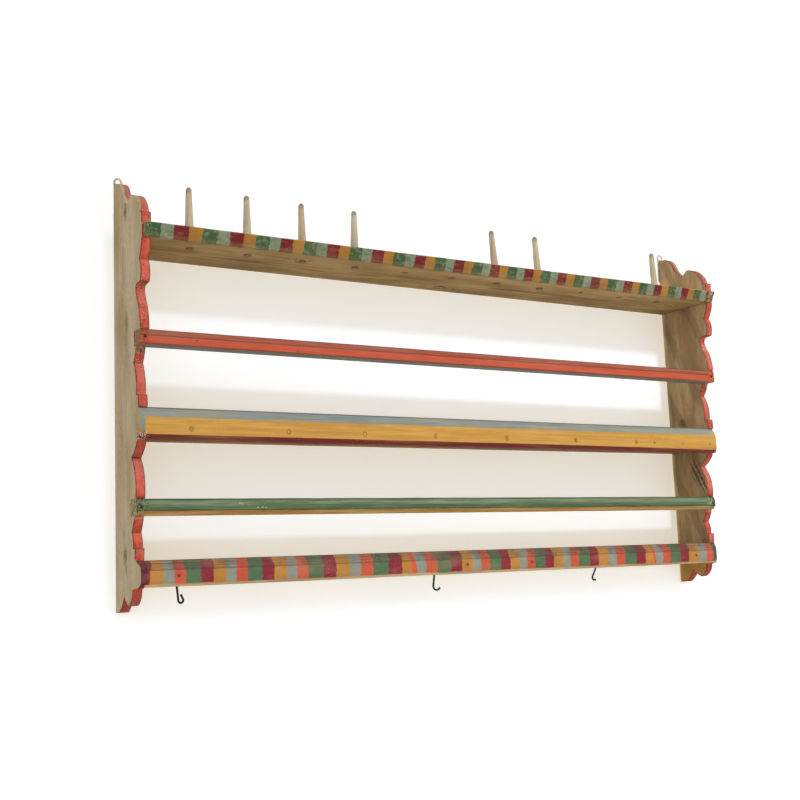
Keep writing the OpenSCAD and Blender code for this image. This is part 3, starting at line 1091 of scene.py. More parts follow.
            colour = bench.coats(
                colour,
                (bench.levels(*self.faded) * stroke.rise(0.56, 0.42) * 0.5, self.faded_coral),
                (crown * stroke.rise(0.4, 0.56) * 0.7, self.crown_streak),
            )
        rough = bench.levels(*self.chipped)
        chips = bench.noise((2.4, 2.4, 3.6), 2, self.seed + 37, 0.6).rise(0.58, 0.66)
        return bench.coats(
            colour,
            (speck.rise(0.55, 0.63) * (patch.rise(0.44, 0.56) * 0.5 + rough * 0.6), self.pock),
            (chips * (rough * 0.45 + 0.12), self.chip),
        )

    def _wood(self, bench: Bench) -> Skin:
        """Builds greyed wood outside, browner wood inside with slanting bands of painted light and shade, and
        a stained foot.

        Args:
            bench: Tree to build in.

        Returns:
            The finish.
        """
        pith = (58, self.side.value * (HALF_LENGTH + 34))
        outer = Pine(
            Grain.UPRIGHT, BARE_SIDE, WARM_SIDE, LATE_SIDE, pith, knots=self.knots, bands=0.3, seed=self.seed,
            flecks=0.75,
        ).skin(bench)
        inner = Pine(
            Grain.UPRIGHT, BARE_INNER, WARM_INNER, LATE_INNER, pith, knots=self.knots, bands=0.22,
            seed=self.seed + 0.5, flecks=0.6,
        ).skin(bench)
        moss = bench.noise((40, 24, 120), 3, self.seed + 60)
        # painted light and shade: the inside face is scaled brighter and darker in slanting bands, as light
        # falls past the shelves
        slant = (bench.high * 0.5 + bench.deep + (moss - 0.5) * 30) / 96
        light = abs(slant.fraction() - 0.5).rise(0.1, 0.16) * 0.3 + 0.86
        blush = bench.noise((40, 14, 46), 3, self.seed + 62)
        tint = bench.coats(
            bench.scaled(inner.colour, light),
            (moss.rise(0.44, 0.62) * 0.4, self.moss_inside),
            (blush.rise(0.52, 0.66) * 0.4, self.blush),
            (self.flame.strokes(bench, self.seed + 64) * 0.9, self.flame_dark),
            ((bench.high + (moss - 0.5) * 26).rise(*self.stained_foot) * 0.8, self.foot_stain),
        )
        outer = outer.coated(moss.rise(0.48, 0.66) * 0.4, self.moss_outside)
        return bench.over(abs(bench.x).rise(*self.inside), Skin(tint, inner.rough, inner.relief), outer)


@dataclass
class LongPiece:
    """A piece that runs across the rack: a copy of its node, eased, cut into rings and worn in front."""

    node: str
    form: str
    slot: str
    saws: tuple[tuple[float, ...], ...] = ()
    arris: float = 0.5
    ring: float = 28.0
    rub: float = 0.5
    rub_size: float = 40.0
    rub_seed: int = 0
    front: float = 0.0
    worn_to: float = math.inf

    def build(self) -> None:
        """Builds the piece, with its ends sawn where the real one is shorter."""
        piece = Workpiece.copy_of(self.node, f"{self.node}_{self.form}")
        for saw in self.saws:
            piece.saw_end(*saw)
        piece.ease(self.arris, self.is_eased)
        piece.slice_along(spread(self.ring))
        piece.wear(self.rub, self.rub_size, self.rub_seed, self.is_worn)
        piece.hand_over(self.finish(), self.slot, self.node)

    def is_eased(self, edge: bmesh.types.BMEdge) -> bool:
        """Tells whether an edge is rounded."""
        return True

    def is_worn(self, spot: Vector) -> bool:
        """Tells whether a place, in millimetres, is rubbed by use."""
        return spot.y < self.front and abs(spot.x) < self.worn_to

    def finish(self) -> bpy.types.Material:
        """Builds the finish, which each piece has of its own."""
        raise NotImplementedError

    @staticmethod
    def bare_behind(bench: Bench, paint: Skin, wood: Skin) -> bpy.types.Material:
        """Ends the tree with the paint in front and bare wood behind."""
        return bench.close(bench.over(bench.backward.rise(0.5, 0.8), paint, wood))


@dataclass
class TopShelf(LongPiece):
    """The thick shelf with its striped nosing and its peg holes."""

    node: str = "top_shelf"
    form: str = "plank"
    slot: str = "top_shelf_wood"
    saws: tuple[tuple[float, ...], ...] = ((-746.6,), (744.0,))
    arris: float = 0.6
    ring: float = 24.0
    rub: float = 0.7
    rub_size: float = 34.0
    rub_seed: int = 3
    front: float = -158.0
    wood: Pine = Pine(
        Grain.LENGTHWISE, SHELF_PALE, SHELF_WARM, SHELF_LATE, (70, 650), ring=5.2, wander=12, bands=0.6,
        knots=(Knot(-392, 108, 7, 2.0), Knot(4, 40, 6, 3.0), Knot(676, 84, 7, 1.6)), seed=12.0,
    )
    paint: Paint = Paint(pot(150, 138, 104), (20, 9, 7), 15.0, wear=0.22, haze=0.16, dirt=0.4)
    stripes: Stripes = Stripes(
        pots=(pot(56, 82, 42), pot(120, 132, 106), pot(110, 22, 28), pot(158, 108, 40)),
        starts=(0.0, 0.27, 0.5, 0.76),
        first=7.442,
        pace=7.448,
        sway=(-0.46, -0.009, -0.057, 0.039, -0.043),
        end_shift=0.3,
        end_zone=(720.0, 732.0),
        seed=3.0,
    )
    low_zone: Pair = (704, 698)
    top_zone: Pair = (718.2, 719.4)
    tail: Pair = (706, 728)
    right_tip: Pair = (712, 736)
    left_tip: Pair = (-722, -744)
    lap: Pair = (158.5, 160)
    stain: Colour = pot(92, 66, 42)
    smear: Colour = pot(132, 124, 92)
    green_dark: Colour = pot(66, 88, 58)
    green_pale: Colour = pot(140, 148, 128)
    low_edge: Colour = pot(158, 142, 100)
    top_edge: Colour = pot(168, 156, 120)
    tail_red: Colour = pot(150, 40, 38)
    tail_green: Colour = pot(66, 84, 62)
    crack: Colour = pot(50, 40, 34)
    flake: Colour = pot(176, 184, 160)

    def is_eased(self, edge: bmesh.types.BMEdge) -> bool:
        """Tells whether an edge runs along the nosing."""
        return is_long(edge) and edge.verts[0].co.y / MM < -150

    def finish(self) -> bpy.types.Material:
        """Builds bare wood with painted stripes on the nosing.

        Returns:
            The finish.
        """
        bench = Bench("top_shelf_wood_and_stripes")
        wood = self.wood.skin(bench)
        wood = wood.coated(bench.noise((160, 7, 7), 3, 13.0, 0.65).rise(0.56, 0.7) * 0.4, self.stain)
        smear = bench.noise((30, 20, 5), 3, 18.0, 0.65)
        mottle = bench.noise((12, 8, 9), 3, 17.0, 0.65)
        greens = self.stripes.count(bench).fraction().rise(0.51, 0.47)
        top = bench.high.rise(*self.top_zone) * bench.noise((40, 8, 8), 3, 19.0).rise(0.4, 0.6)
        mess = bench.noise((8, 8, 8), 2, 20.0, 0.6)
        colour = bench.coats(
            self.stripes.colour(bench),
            (smear.rise(0.52, 0.7) * 0.4, self.smear),
            (mottle.rise(0.5, 0.62) * greens * 0.5, self.green_dark),
            (mottle.rise(0.46, 0.36) * greens * 0.4, self.green_pale),
            (bench.high.rise(*self.low_zone) * 0.16, self.low_edge),
            (top * 0.6, self.top_edge),
            (
                bench.x.rise(*self.tail) * mess.rise(0.44, 0.56) * 0.8,
                bench.blend(mess.rise(0.5, 0.62), self.tail_red, self.tail_green),
            ),
        )
        paint = self.paint.skin(bench, colour, wood)
        ends = bench.x.rise(*self.right_tip) * 0.8 + bench.x.rise(*self.left_tip) * 0.45
        paint = bench.crumbs(ends, paint, self.crack, self.flake, 3.2)
        edge = bench.deep + (bench.noise((14, 5, 5), 3, 16.0) - 0.5) * 7
        return bench.close(bench.over(edge.rise(*self.lap) * bench.forward.rise(-0.3, 0.2), wood, paint))


@dataclass
class PlainShelf:
    """A bare shelf between the boards, behind its moulding."""

    node: str
    pith: Pair
    knots: tuple[Knot, ...]
    seed: float
    rubbed: Colour = pot(186, 160, 120)

    def build(self) -> None:
        """Builds the shelf with eased arrises."""
        piece = Workpiece.copy_of(self.node, f"{self.node}_plank")
        piece.ease(0.5, is_long)
        piece.hand_over(self._finish(), "shelf_wood", self.node)

    def _finish(self) -> bpy.types.Material:
        """Builds bare wood, rubbed pale on top.

        Returns:
            The finish.
        """
        bench = Bench(f"{self.node}_wood")
        wood = Pine(
            Grain.LENGTHWISE, SHELF_PALE, SHELF_WARM, SHELF_LATE, self.pith, ring=4.8, wander=12, bands=0.55,
            knots=self.knots, seed=self.seed,
        ).skin(bench)
        rub = bench.upward.rise(0.4, 0.9) * bench.noise((120, 40, 40), 3, self.seed + 7).rise(0.4, 0.62)
        return bench.close(wood.coated(rub * 0.4, self.rubbed))


@dataclass
class UpperRail(LongPiece):
    """The coral plate rail with its groove."""

    node: str = "upper_rail"
    form: str = "bar"
    slot: str = "upper_rail_paint"
    rub_seed: int = 5
    front: float = -125.0
    worn_to: float = 738.0
    wood: Pine = Pine(
        Grain.LENGTHWISE, pot(150, 132, 96), pot(112, 100, 70), pot(84, 70, 50), (140, 540), ring=3.6,
        wander=6, bands=0.6, seed=21.0,
    )
    paint: Paint = Paint(pot(166, 112, 92), (70, 7, 4), 24.0, wear=0.2, haze=0.3)
    bottom: float = 493.5
    top: float = 522.5
    groove: float = 510.9
    holes: tuple[Triple, ...] = ((-638, 506, 1.5), (-423, 498, 1.3), (118, 504, 1.2))
    rubbed_zone: Triple = (515, 4, 3)
    # band and colour of the painted highlight below the groove
    highlight_zone: Triple = (502, 5, 4)
    left_tip: Pair = (-728, -738)
    right_tip: Pair = (722, 736)
    coral: Colour = pot(160, 68, 44)
    low_coral: Colour = pot(188, 79, 50)
    rubbed: Colour = pot(150, 116, 98)
    groove_dark: Colour = pot(118, 70, 56)
    painted_highlight: Colour = pot(220, 118, 92)
    top_line: Colour = pot(92, 56, 44)
    under_dark: Colour = pot(104, 106, 92)
    under_pale: Colour = pot(134, 130, 112)
    low_line: Colour = pot(116, 50, 38)
    hole: Colour = pot(58, 32, 26)
    left_cracks: Colour = pot(70, 36, 28)
    left_chips: Colour = pot(176, 72, 52)
    right_cracks: Colour = pot(110, 46, 34)
    right_chips: Colour = pot(224, 106, 66)
    end_grain: Shades = (pot(52, 40, 30), pot(134, 112, 78), pot(168, 74, 54))

    def is_eased(self, edge: bmesh.types.BMEdge) -> bool:
        """Tells whether an edge runs along the rail."""
        return edge.calc_length() > 0.04

    def finish(self) -> bpy.types.Material:
        """Builds coral paint, greyed along the groove and dark grey-green below.

        Returns:
            The finish.
        """
        bench = Bench("upper_rail_coral")
        wood = self.wood.skin(bench)
        high, x = bench.high, bench.x
        long = bench.noise((150, 6, 3), 4, 22.0, 0.65)
        fine = bench.noise((60, 3, 1.4), 3, 23.0, 0.6)
        low = (bench.upward + (long - 0.5) * 0.3).rise(-0.45, -0.75)
        colour = bench.coats(
            bench.blend(high.rise(self.groove - 1, self.groove + 1), self.low_coral, self.coral),
            ((long * 0.6 + fine * 0.4).rise(0.46, 0.6) * high.band(*self.rubbed_zone) * 0.65, self.rubbed),
            # a darker line along the groove
            (high.band(self.groove - 0.4, 0.8, 0.7) * 0.75, self.groove_dark),
            # painted highlight: pale streaks in a band below the groove
            (high.band(*self.highlight_zone) * fine.rise(0.56, 0.68) * 0.3, self.painted_highlight),
            # a darker line along the top edge
            (high.rise(self.top - 2.8, self.top - 1.2) * 0.8, self.top_line),
            (low, bench.blend(long.rise(0.4, 0.6), self.under_dark, self.under_pale)),
            (high.band(self.bottom + 1.6, 0.7, 0.9) * 0.6, self.low_line),
            *(
                (bench.reach(along, height).rise(size * 1.4, size * 0.7), self.hole)
                for along, height, size in self.holes
            ),
        )
        skin = self.paint.skin(bench, colour, wood)
        skin = bench.crumbs(x.rise(*self.left_tip) * 0.75, skin, self.left_cracks, self.left_chips, 3.4)
        skin = bench.crumbs(x.rise(*self.right_tip) * 0.7, skin, self.right_cracks, self.right_chips, 6.0)
        grit = bench.noise((5, 4, 7), 3, 26.0, 0.65)
        dark, pale, smeared = self.end_grain
        end = bench.blend(grit.rise(0.54, 0.62), bench.blend(grit.rise(0.4, 0.5), dark, pale), smeared)
        skin = skin.coated(abs(bench.sideways).rise(0.4, 0.8) * 0.9, end)
        return self.bare_behind(bench, skin, wood)


@dataclass
class LowerRail(LongPiece):
    """The round green plate rail with the ochre bevel under it."""

    node: str = "lower_rail"
    form: str = "bar"
    slot: str = "lower_rail_paint"
    rub_seed: int = 6
    front: float = -95.0
    worn_to: float = 738.0
    wood: Pine = Pine(
        Grain.LENGTHWISE, pot(178, 158, 118), pot(140, 116, 78), pot(92, 74, 50), (112, 230), ring=3.4,
        wander=6, bands=0.6, seed=31.0,
    )
    paint: Paint = Paint(PALE_GREEN, (70, 7, 4), 35.0, wear=0.26, haze=0.3)
    bevel: float = 185.25
    top: float = 208.5
    flecks: tuple[Pair, ...] = ((-543, 199), (-538, 197.5), (-496, 191), (-488, 190), (-505, 190.5))
    pale_zone: Triple = (200.5, 3, 3)
    streak_zone: Triple = (194, 6, 5)
    left_tip: Pair = (-722, -740)
    right_tip: Pair = (716, 730)
    right_edge: Pair = (738, 743)
    deep_green: Colour = pot(62, 86, 62)
    streak: Colour = pot(130, 134, 98)
    top_line: Colour = pot(48, 60, 48)
    bevel_line: Colour = pot(54, 52, 34)
    ochre: Colour = pot(176, 130, 62)
    pale_ochre: Colour = pot(196, 160, 98)
    fleck: Colour = pot(206, 206, 168)
    end_grain: tuple[Colour, Colour] = (pot(128, 108, 76), pot(186, 166, 128))
    left_cracks: Colour = pot(34, 32, 24)
    left_chips: Colour = pot(128, 134, 104)
    right_cracks: Colour = pot(66, 92, 66)
    right_chips: Colour = pot(172, 184, 140)
    edge_cracks: Colour = pot(30, 30, 28)
    edge_chips: Colour = pot(120, 124, 110)

    def finish(self) -> bpy.types.Material:
        """Builds green paint with paler streaks along the crest, and ochre on the bevel.

        Returns:
            The finish.
        """
        bench = Bench("lower_rail_green")
        wood = self.wood.skin(bench)
        high, x = bench.high, bench.x
        long = bench.noise((170, 6, 3), 4, 32.0, 0.65)
        fine = bench.noise((70, 3, 1.4), 3, 38.0, 0.6)
        streaks = (long * 0.4 + bench.noise((110, 5, 3), 4, 33.0, 0.65) * 0.6).rise(0.42, 0.56)
        edge = high + (bench.noise((24, 6, 3), 3, 34.0) - 0.5) * 2
        colour = bench.coats(
            bench.blend(long.rise(0.4, 0.62), GREEN, self.deep_green),
            # paler streaks along the crest of the round
            (high.band(*self.pale_zone) * streaks * 0.6, PALE_GREEN),
            (high.band(*self.streak_zone) * fine.rise(0.54, 0.66) * 0.45, self.streak),
            # a darker line along the top edge
            (high.rise(self.top - 2.2, self.top - 0.8) * 0.75, self.top_line),
            (edge.band(self.bevel + 0.9, 0.5, 0.6) * 0.6, self.bevel_line),
            (
                edge.rise(self.bevel + 0.4, self.bevel - 0.4),
                bench.blend(long.rise(0.44, 0.6), self.ochre, self.pale_ochre),
            ),
            *(
                (bench.reach(along, height, 1.6).rise(2.4, 1.0) * 0.85, self.fleck)
                for along, height in self.flecks
            ),
        )
        skin = self.paint.skin(bench, colour, wood)
        stub = bench.blend(bench.noise((5, 5, 5), 2, 36.0).rise(0.42, 0.58), *self.end_grain)
        skin = skin.coated((-bench.sideways).rise(0.3, 0.7) * 0.9, stub)
        skin = bench.crumbs(x.rise(*self.left_tip) * 0.9, skin, self.left_cracks, self.left_chips, 3.0)
        skin = bench.crumbs(x.rise(*self.right_tip) * 0.8, skin, self.right_cracks, self.right_chips, 6.5)
        skin = bench.crumbs(x.rise(*self.right_edge) * 0.9, skin, self.edge_cracks, self.edge_chips, 5.0)
        return self.bare_behind(bench, skin, wood)


@dataclass
class MiddleRail(LongPiece):
    """The lipped moulding with a sloping slate top, an ochre face and a maroon bevel."""

    node: str = "middle_rail"
    form: str = "moulding"
    slot: str = "middle_rail_paint"
    saws: tuple[tuple[float, ...], ...] = ((737.2, 150.0, 0.53),)
    arris: float = 0.6
    rub: float = 0.6
    rub_size: float = 44.0
    rub_seed: int = 7
    front: float = -130.0
    wood: Pine = Pine(
        Grain.LENGTHWISE, pot(190, 160, 112), pot(160, 128, 84), pot(112, 84, 54), (160, 420), ring=3.8,
        wander=6, bands=0.6, seed=41.0,
    )
    paint: Paint = Paint(OCHRE_WORN, (80, 8, 6), 45.0, wear=0.16, haze=0.2, dirt=0.22)
    bevel: float = 325.0
    slope: float = 357.0
    nails: tuple[float, ...] = (-652.5, -449, -276, -102.8, 86.3, 283, 469)
    nail_height: float = 336.0
    dents: tuple[Pair, ...] = ((521, 353), (527, 351), (515, 349), (530, 346), (518, 345))
    slate_right_zone: Pair = (500, 700)
    lift_zone: Pair = (200, 740)
    top_zone: Pair = (374.6, 376.4)
    mitre_left: Pair = (-747.4, -746)
    mitre_foot: Pair = (342, 330)
    rim_zone: Triple = (316.2, 0.5, 0.5)
    corner: tuple[Pair, Pair] = ((-735, -741), (336, 328))
    pale_ochre: Colour = pot(200, 152, 72)
    dark_ochre: Colour = pot(176, 124, 54)
    slate_streak: Colour = pot(98, 100, 90)
    slate_foot: Colour = pot(158, 138, 92)
    slate_right: Colour = pot(142, 158, 140)
    top_line: Colour = pot(66, 74, 76)
    mitre_bare: Colour = pot(158, 140, 108)
    mitre_ochre: Colour = pot(166, 122, 66)
    brown_maroon: Colour = pot(100, 42, 32)
    rim: Colour = pot(170, 128, 76)
    nail_ring: Colour = pot(112, 72, 34)
    dent: Colour = pot(134, 90, 40)
    corner_cracks: Colour = pot(60, 44, 36)
    corner_chips: Colour = pot(222, 212, 192)

    def finish(self) -> bpy.types.Material:
        """Builds the three paints of the moulding.

        Returns:
            The finish.
        """
        bench = Bench("middle_rail_paints")
        wood = self.wood.skin(bench)
        high, x = bench.high, bench.x
        wobble = (bench.noise((40, 6, 6), 3, 42.0) - 0.5) * 2.4
        long = bench.noise((180, 8, 5), 4, 43.0, 0.65)
        fine = bench.noise((90, 4, 2), 4, 44.0, 0.65)
        ochre = bench.coats(
            OCHRE, (long.rise(0.4, 0.64), self.pale_ochre), (fine.rise(0.55, 0.7) * 0.4, self.dark_ochre)
        )
        slate = bench.coats(
            SLATE,
            (long.rise(0.42, 0.62), SLATE_WORN),
            (fine.rise(0.5, 0.66) * 0.55, self.slate_streak),
            (high.rise(self.slope + 7, self.slope) * 0.45, self.slate_foot),
            (x.rise(*self.slate_right_zone) * 0.5, self.slate_right),
        )
        mitre = bench.coats(
            self.mitre_bare,
            ((x + wobble).rise(*self.mitre_left), SLATE),
            ((high + wobble * 4).rise(*self.mitre_foot), self.mitre_ochre),
        )
        maroon = bench.blend(long.rise(0.46, 0.62), MAROON, self.brown_maroon)
        lift = x.rise(*self.lift_zone) * 3
        low = high + wobble * 0.5 + lift * 0.8
        rim = high.band(*self.rim_zone) * bench.forward.rise(0.15, 0.5) * fine.rise(0.42, 0.56)
        colour = bench.coats(
            ochre,
            ((high + wobble * 2 - lift).rise(self.slope - 1, self.slope + 1.2), slate),
            # a darker line along the top edge
            (high.rise(*self.top_zone) * 0.75, self.top_line),
            ((-bench.sideways).rise(0.45, 0.6) * 0.9, mitre),
            (low.rise(self.bevel + 0.3, self.bevel - 0.4), maroon),
            (rim * 0.6, self.rim),
        )
        for along in self.nails:
            ring = bench.reach(along, self.nail_height, 0.9).band(4.0, 0.5, 0.8)
            colour = bench.blend(ring * (fine + 0.2), colour, self.nail_ring)
        for along, height in self.dents:
            colour = bench.blend(bench.reach(along, height).rise(2.2, 1.0) * 0.6, colour, self.dent)
        skin = self.paint.skin(bench, colour, wood)
        corner = x.rise(*self.corner[0]) * high.rise(*self.corner[1])
        skin = bench.crumbs(corner, skin, self.corner_cracks, self.corner_chips, 2.6)
        return self.bare_behind(bench, skin, wood)


@dataclass
class BottomRail(LongPiece):
    """The striped moulding on the edge of the bottom shelf."""

    node: str = "bottom_rail"
    form: str = "moulding"
    slot: str = "bottom_rail_paint"
    saws: tuple[tuple[float, ...], ...] = ((740.6, 120.0, 0.5),)
    ring: float = 26.0
    rub_seed: int = 8
    front: float = -109.0
    wood: Pine = Pine(
        Grain.LENGTHWISE, pot(206, 178, 138), pot(182, 148, 106), pot(124, 94, 62), (112, 130), ring=3.6,
        wander=6, bands=0.5, seed=51.0,
    )
    paint: Paint = Paint(pot(160, 128, 100), (30, 8, 12), 54.0, wear=0.22, haze=0.3, dirt=0.4)
    groove: float = 77.5
    stripes: Stripes = Stripes(
        pots=(pot(134, 36, 50), pot(182, 126, 54), pot(138, 142, 128), pot(196, 84, 56), pot(80, 108, 74)),
        starts=(0.0, 0.2, 0.41, 0.58, 0.76),
        first=5.507,
        pace=5.496,
        sway=(0.045, 0.046, 0.084, 0.037, -0.048),
        end_shift=-0.075,
        end_zone=(640.0, 700.0),
        seed=8.0,
    )
    touches: tuple[Pair, ...] = ((-152, 5.5), (530, 3.0))
    smears: tuple[Pair, ...] = ((-459, 89), (-395, 86), (-174, 56))
    lines: tuple[Triple, ...] = ((76.4, 0.6, 0.6), (82.6, 0.4, 0.6), (88.4, 0.4, 0.6))
    top_zone: Pair = (92.6, 94.2)
    right_tip: Pair = (722, 738)
    left_stripe: Pair = (-729.6, -731.2)
    lip: Pair = (51.2, 49.2)
    bare_from: Pair = (-737, -733)
    left_end: Pair = (-742.6, -743.6)
    touch: Colour = pot(206, 84, 54)
    # colour of the painted shade and soot above the groove
    slope_shade_and_soot: Colour = pot(88, 74, 62)
    grime: Colour = pot(70, 50, 40)
    groove_dark: Colour = pot(64, 48, 40)
    top_line: Colour = pot(60, 54, 46)
    right_green: Colour = pot(46, 66, 54)
    smear: Colour = pot(66, 48, 36)
    left_maroon: Colour = pot(74, 18, 34)

    def is_eased(self, edge: bmesh.types.BMEdge) -> bool:
        """Tells whether an edge runs along the moulding or lies at one of its ends."""
        return abs(edge.verts[0].co.x) > 0.74 or edge.calc_length() > 0.04

    def finish(self) -> bpy.types.Material:
        """Builds the stripes, with jogs at the groove and a bare lower lip.

        Returns:
            The finish.
        """
        bench = Bench("bottom_rail_stripes")
        wood = self.wood.skin(bench)
        high, x = bench.high, bench.x
        upper = high.rise(self.groove - 0.4, self.groove + 0.4)
        jog = (bench.noise((44, 30, 60), 1, 52.0) - 0.5) * 0.14
        slope_shade_and_soot = bench.noise((34, 30, 60), 2, 59.0, 0.6).rise(0.46, 0.6)
        grime = bench.noise((4, 4, 4), 2, 60.0, 0.65).rise(0.6, 0.68)
        long = bench.noise((120, 6, 2), 3, 57.0, 0.6)
        first, second, third = (high.band(*line) for line in self.lines)
        lines = first.most(second * long.rise(0.4, 0.55)).most(third * long.rise(0.44, 0.6))
        slant = x + (high - 70) * 0.2
        colour = bench.coats(
            self.stripes.colour(bench, jog * upper),
            *((slant.band(along, half, 1.0), self.touch) for along, half in self.touches),
            # painted shade: the sloping part above the groove is darkened all along, and more in clouds of
            # soot
            (upper * (slope_shade_and_soot * 0.36 + 0.24), self.slope_shade_and_soot),
            (grime * slope_shade_and_soot * 0.5, self.grime),
            # darker lines along the grooves, broken in places
            (lines * 0.6, self.groove_dark),
            # a darker line along the top edge
            (high.rise(*self.top_zone) * 0.8, self.top_line),
            (x.rise(*self.right_tip) * 0.7, self.right_green),
        )
        for along, height in self.smears:
            blot = bench.noise((5, 3, 1.2), 3, 58.0).rise(0.5, 0.6)
            colour = bench.blend(bench.reach(along, height, 3.0).rise(16, 4) * blot * 0.7, colour, self.smear)
        colour = bench.blend(x.rise(*self.left_stripe) * 0.75, colour, self.left_maroon)
        paint = self.paint.skin(bench, colour, wood)
        lip = (high + (bench.noise((30, 8, 5), 3, 53.0) - 0.5) * 3).rise(*self.lip)
        skin = bench.over(lip * x.rise(*self.bare_from), paint, wood)
        stub = bench.blend(bench.noise((9, 9, 30), 3, 56.0), WARM_SIDE, BARE_SIDE)
        stub = bench.scaled(stub, 0.8 + long * 0.3)
        skin = skin.coated((-bench.sideways).rise(0.3, 0.55) * x.rise(*self.left_end), stub)
        return self.bare_behind(bench, skin, wood)


@dataclass
class Peg:
    """A whittled peg in its hole in the top shelf."""

    number: int
    lean: float
    first: float = -637.0
    pitch: float = 123.6
    middle: float = 708.0
    deep: float = 116.0
    radius: float = 7.75
    belly: float = 8.8
    tip: float = 6.6
    foot: float = -16.0
    foot_ease: float = 1.2
    shoulder: float = 16.0
    shoulder_ease: float = 1.5
    top: float = 110.0
    cuts: int = 6
    tip_angles: tuple[float, ...] = (25, 50, 70, 84)
    nick: float = 0.3

    def build(self, material: bpy.types.Material) -> None:
        """Builds the peg ring by ring and leans it.

        Args:
            material: Its finish.
        """
        piece = Workpiece(f"peg_{self.number}_whittled")
        mesh = piece.mesh
        draw = random.Random(self.number)
        base = bmesh.ops.create_circle(mesh, cap_ends=True, segments=18, radius=self.radius * MM)
        bmesh.ops.translate(mesh, verts=base["verts"], vec=(0, 0, self.foot * MM))
        cap = next(iter(mesh.faces))
        if cap.normal.z < 0:
            cap.normal_flip()
        height, radius = self.foot, self.radius
        for goal, wide in self._rings():
            grown = bmesh.ops.extrude_face_region(mesh, geom=[cap], use_keep_orig=(height == self.foot))
            cap = picked(grown["geom"], bmesh.types.BMFace)[0]
            bmesh.ops.translate(mesh, verts=cap.verts, vec=(0, 0, (goal - height) * MM))
            middle = cap.calc_center_median()
            share = wide / radius
            bmesh.ops.scale(mesh, verts=cap.verts, vec=(share, share, 1), space=Matrix.Translation(-middle))
            if goal > self.shoulder + self.shoulder_ease:
                for vert in cap.verts:
                    vert.co -= (vert.co - middle).normalized() * (draw.random() * self.nick * MM)
            height, radius = goal, wide
        place = self.first + self.pitch * (self.number - 1)
        piece.set_at(place, self.deep, self.middle, self.lean)
        piece.hand_over(material, "peg_wood", f"peg_{self.number}", crease=50)

    def _rings(self) -> list[Pair]:
        """Lists the height and the radius of each ring above the foot.

        Returns:
            The rings from the foot up.
        """
        start, end = self.shoulder + self.shoulder_ease, self.top - self.tip
        rings = [(height, self.radius) for height in (self.foot + self.foot_ease, 0.0, self.shoulder)]
        for step in range(self.cuts + 1):
            share = step / self.cuts
            rings.append((start + (end - start) * share, self.belly + (self.tip - self.belly) * share))
        for angle in map(math.radians, self.tip_angles):
            rings.append((end + self.tip * math.sin(angle), self.tip * math.cos(angle)))
        return rings


@dataclass(frozen=True)
class PegWood:
    """Bare greyed wood with a darker tip and foot."""

    wood: Pine = Pine(
        Grain.UPRIGHT, pot(206, 194, 172), pot(186, 172, 146), pot(128, 110, 84), (116, 40), ring=2.2,
        wander=4, bands=0.5, seed=61.0,
    )
    tip: Pair = (800, 814)
    lower: Pair = (748, 732)
    foot: Pair = (702, 699)
    tip_dirt: Colour = pot(96, 80, 64)
    lower_dirt: Colour = pot(120, 98, 72)
    foot_dirt: Colour = pot(120, 88, 54)

    def finish(self) -> bpy.types.Material:
        """Builds the wood.

        Returns:
            The finish.
        """
        bench = Bench("peg_wood")
        wood = self.wood.skin(bench)
        smut = bench.noise((9, 9, 9), 3, 62.0)
        colour = bench.coats(
            wood.colour,
            ((bench.high + (smut - 0.5) * 14).rise(*self.tip) * 0.6, self.tip_dirt),
            ((bench.high + smut * 14).rise(*self.lower) * 0.3, self.lower_dirt),
            (bench.high.rise(*self.foot) * 0.75, self.foot_dirt),
        )
        return bench.close(Skin(colour, wood.rough, wood.relief))


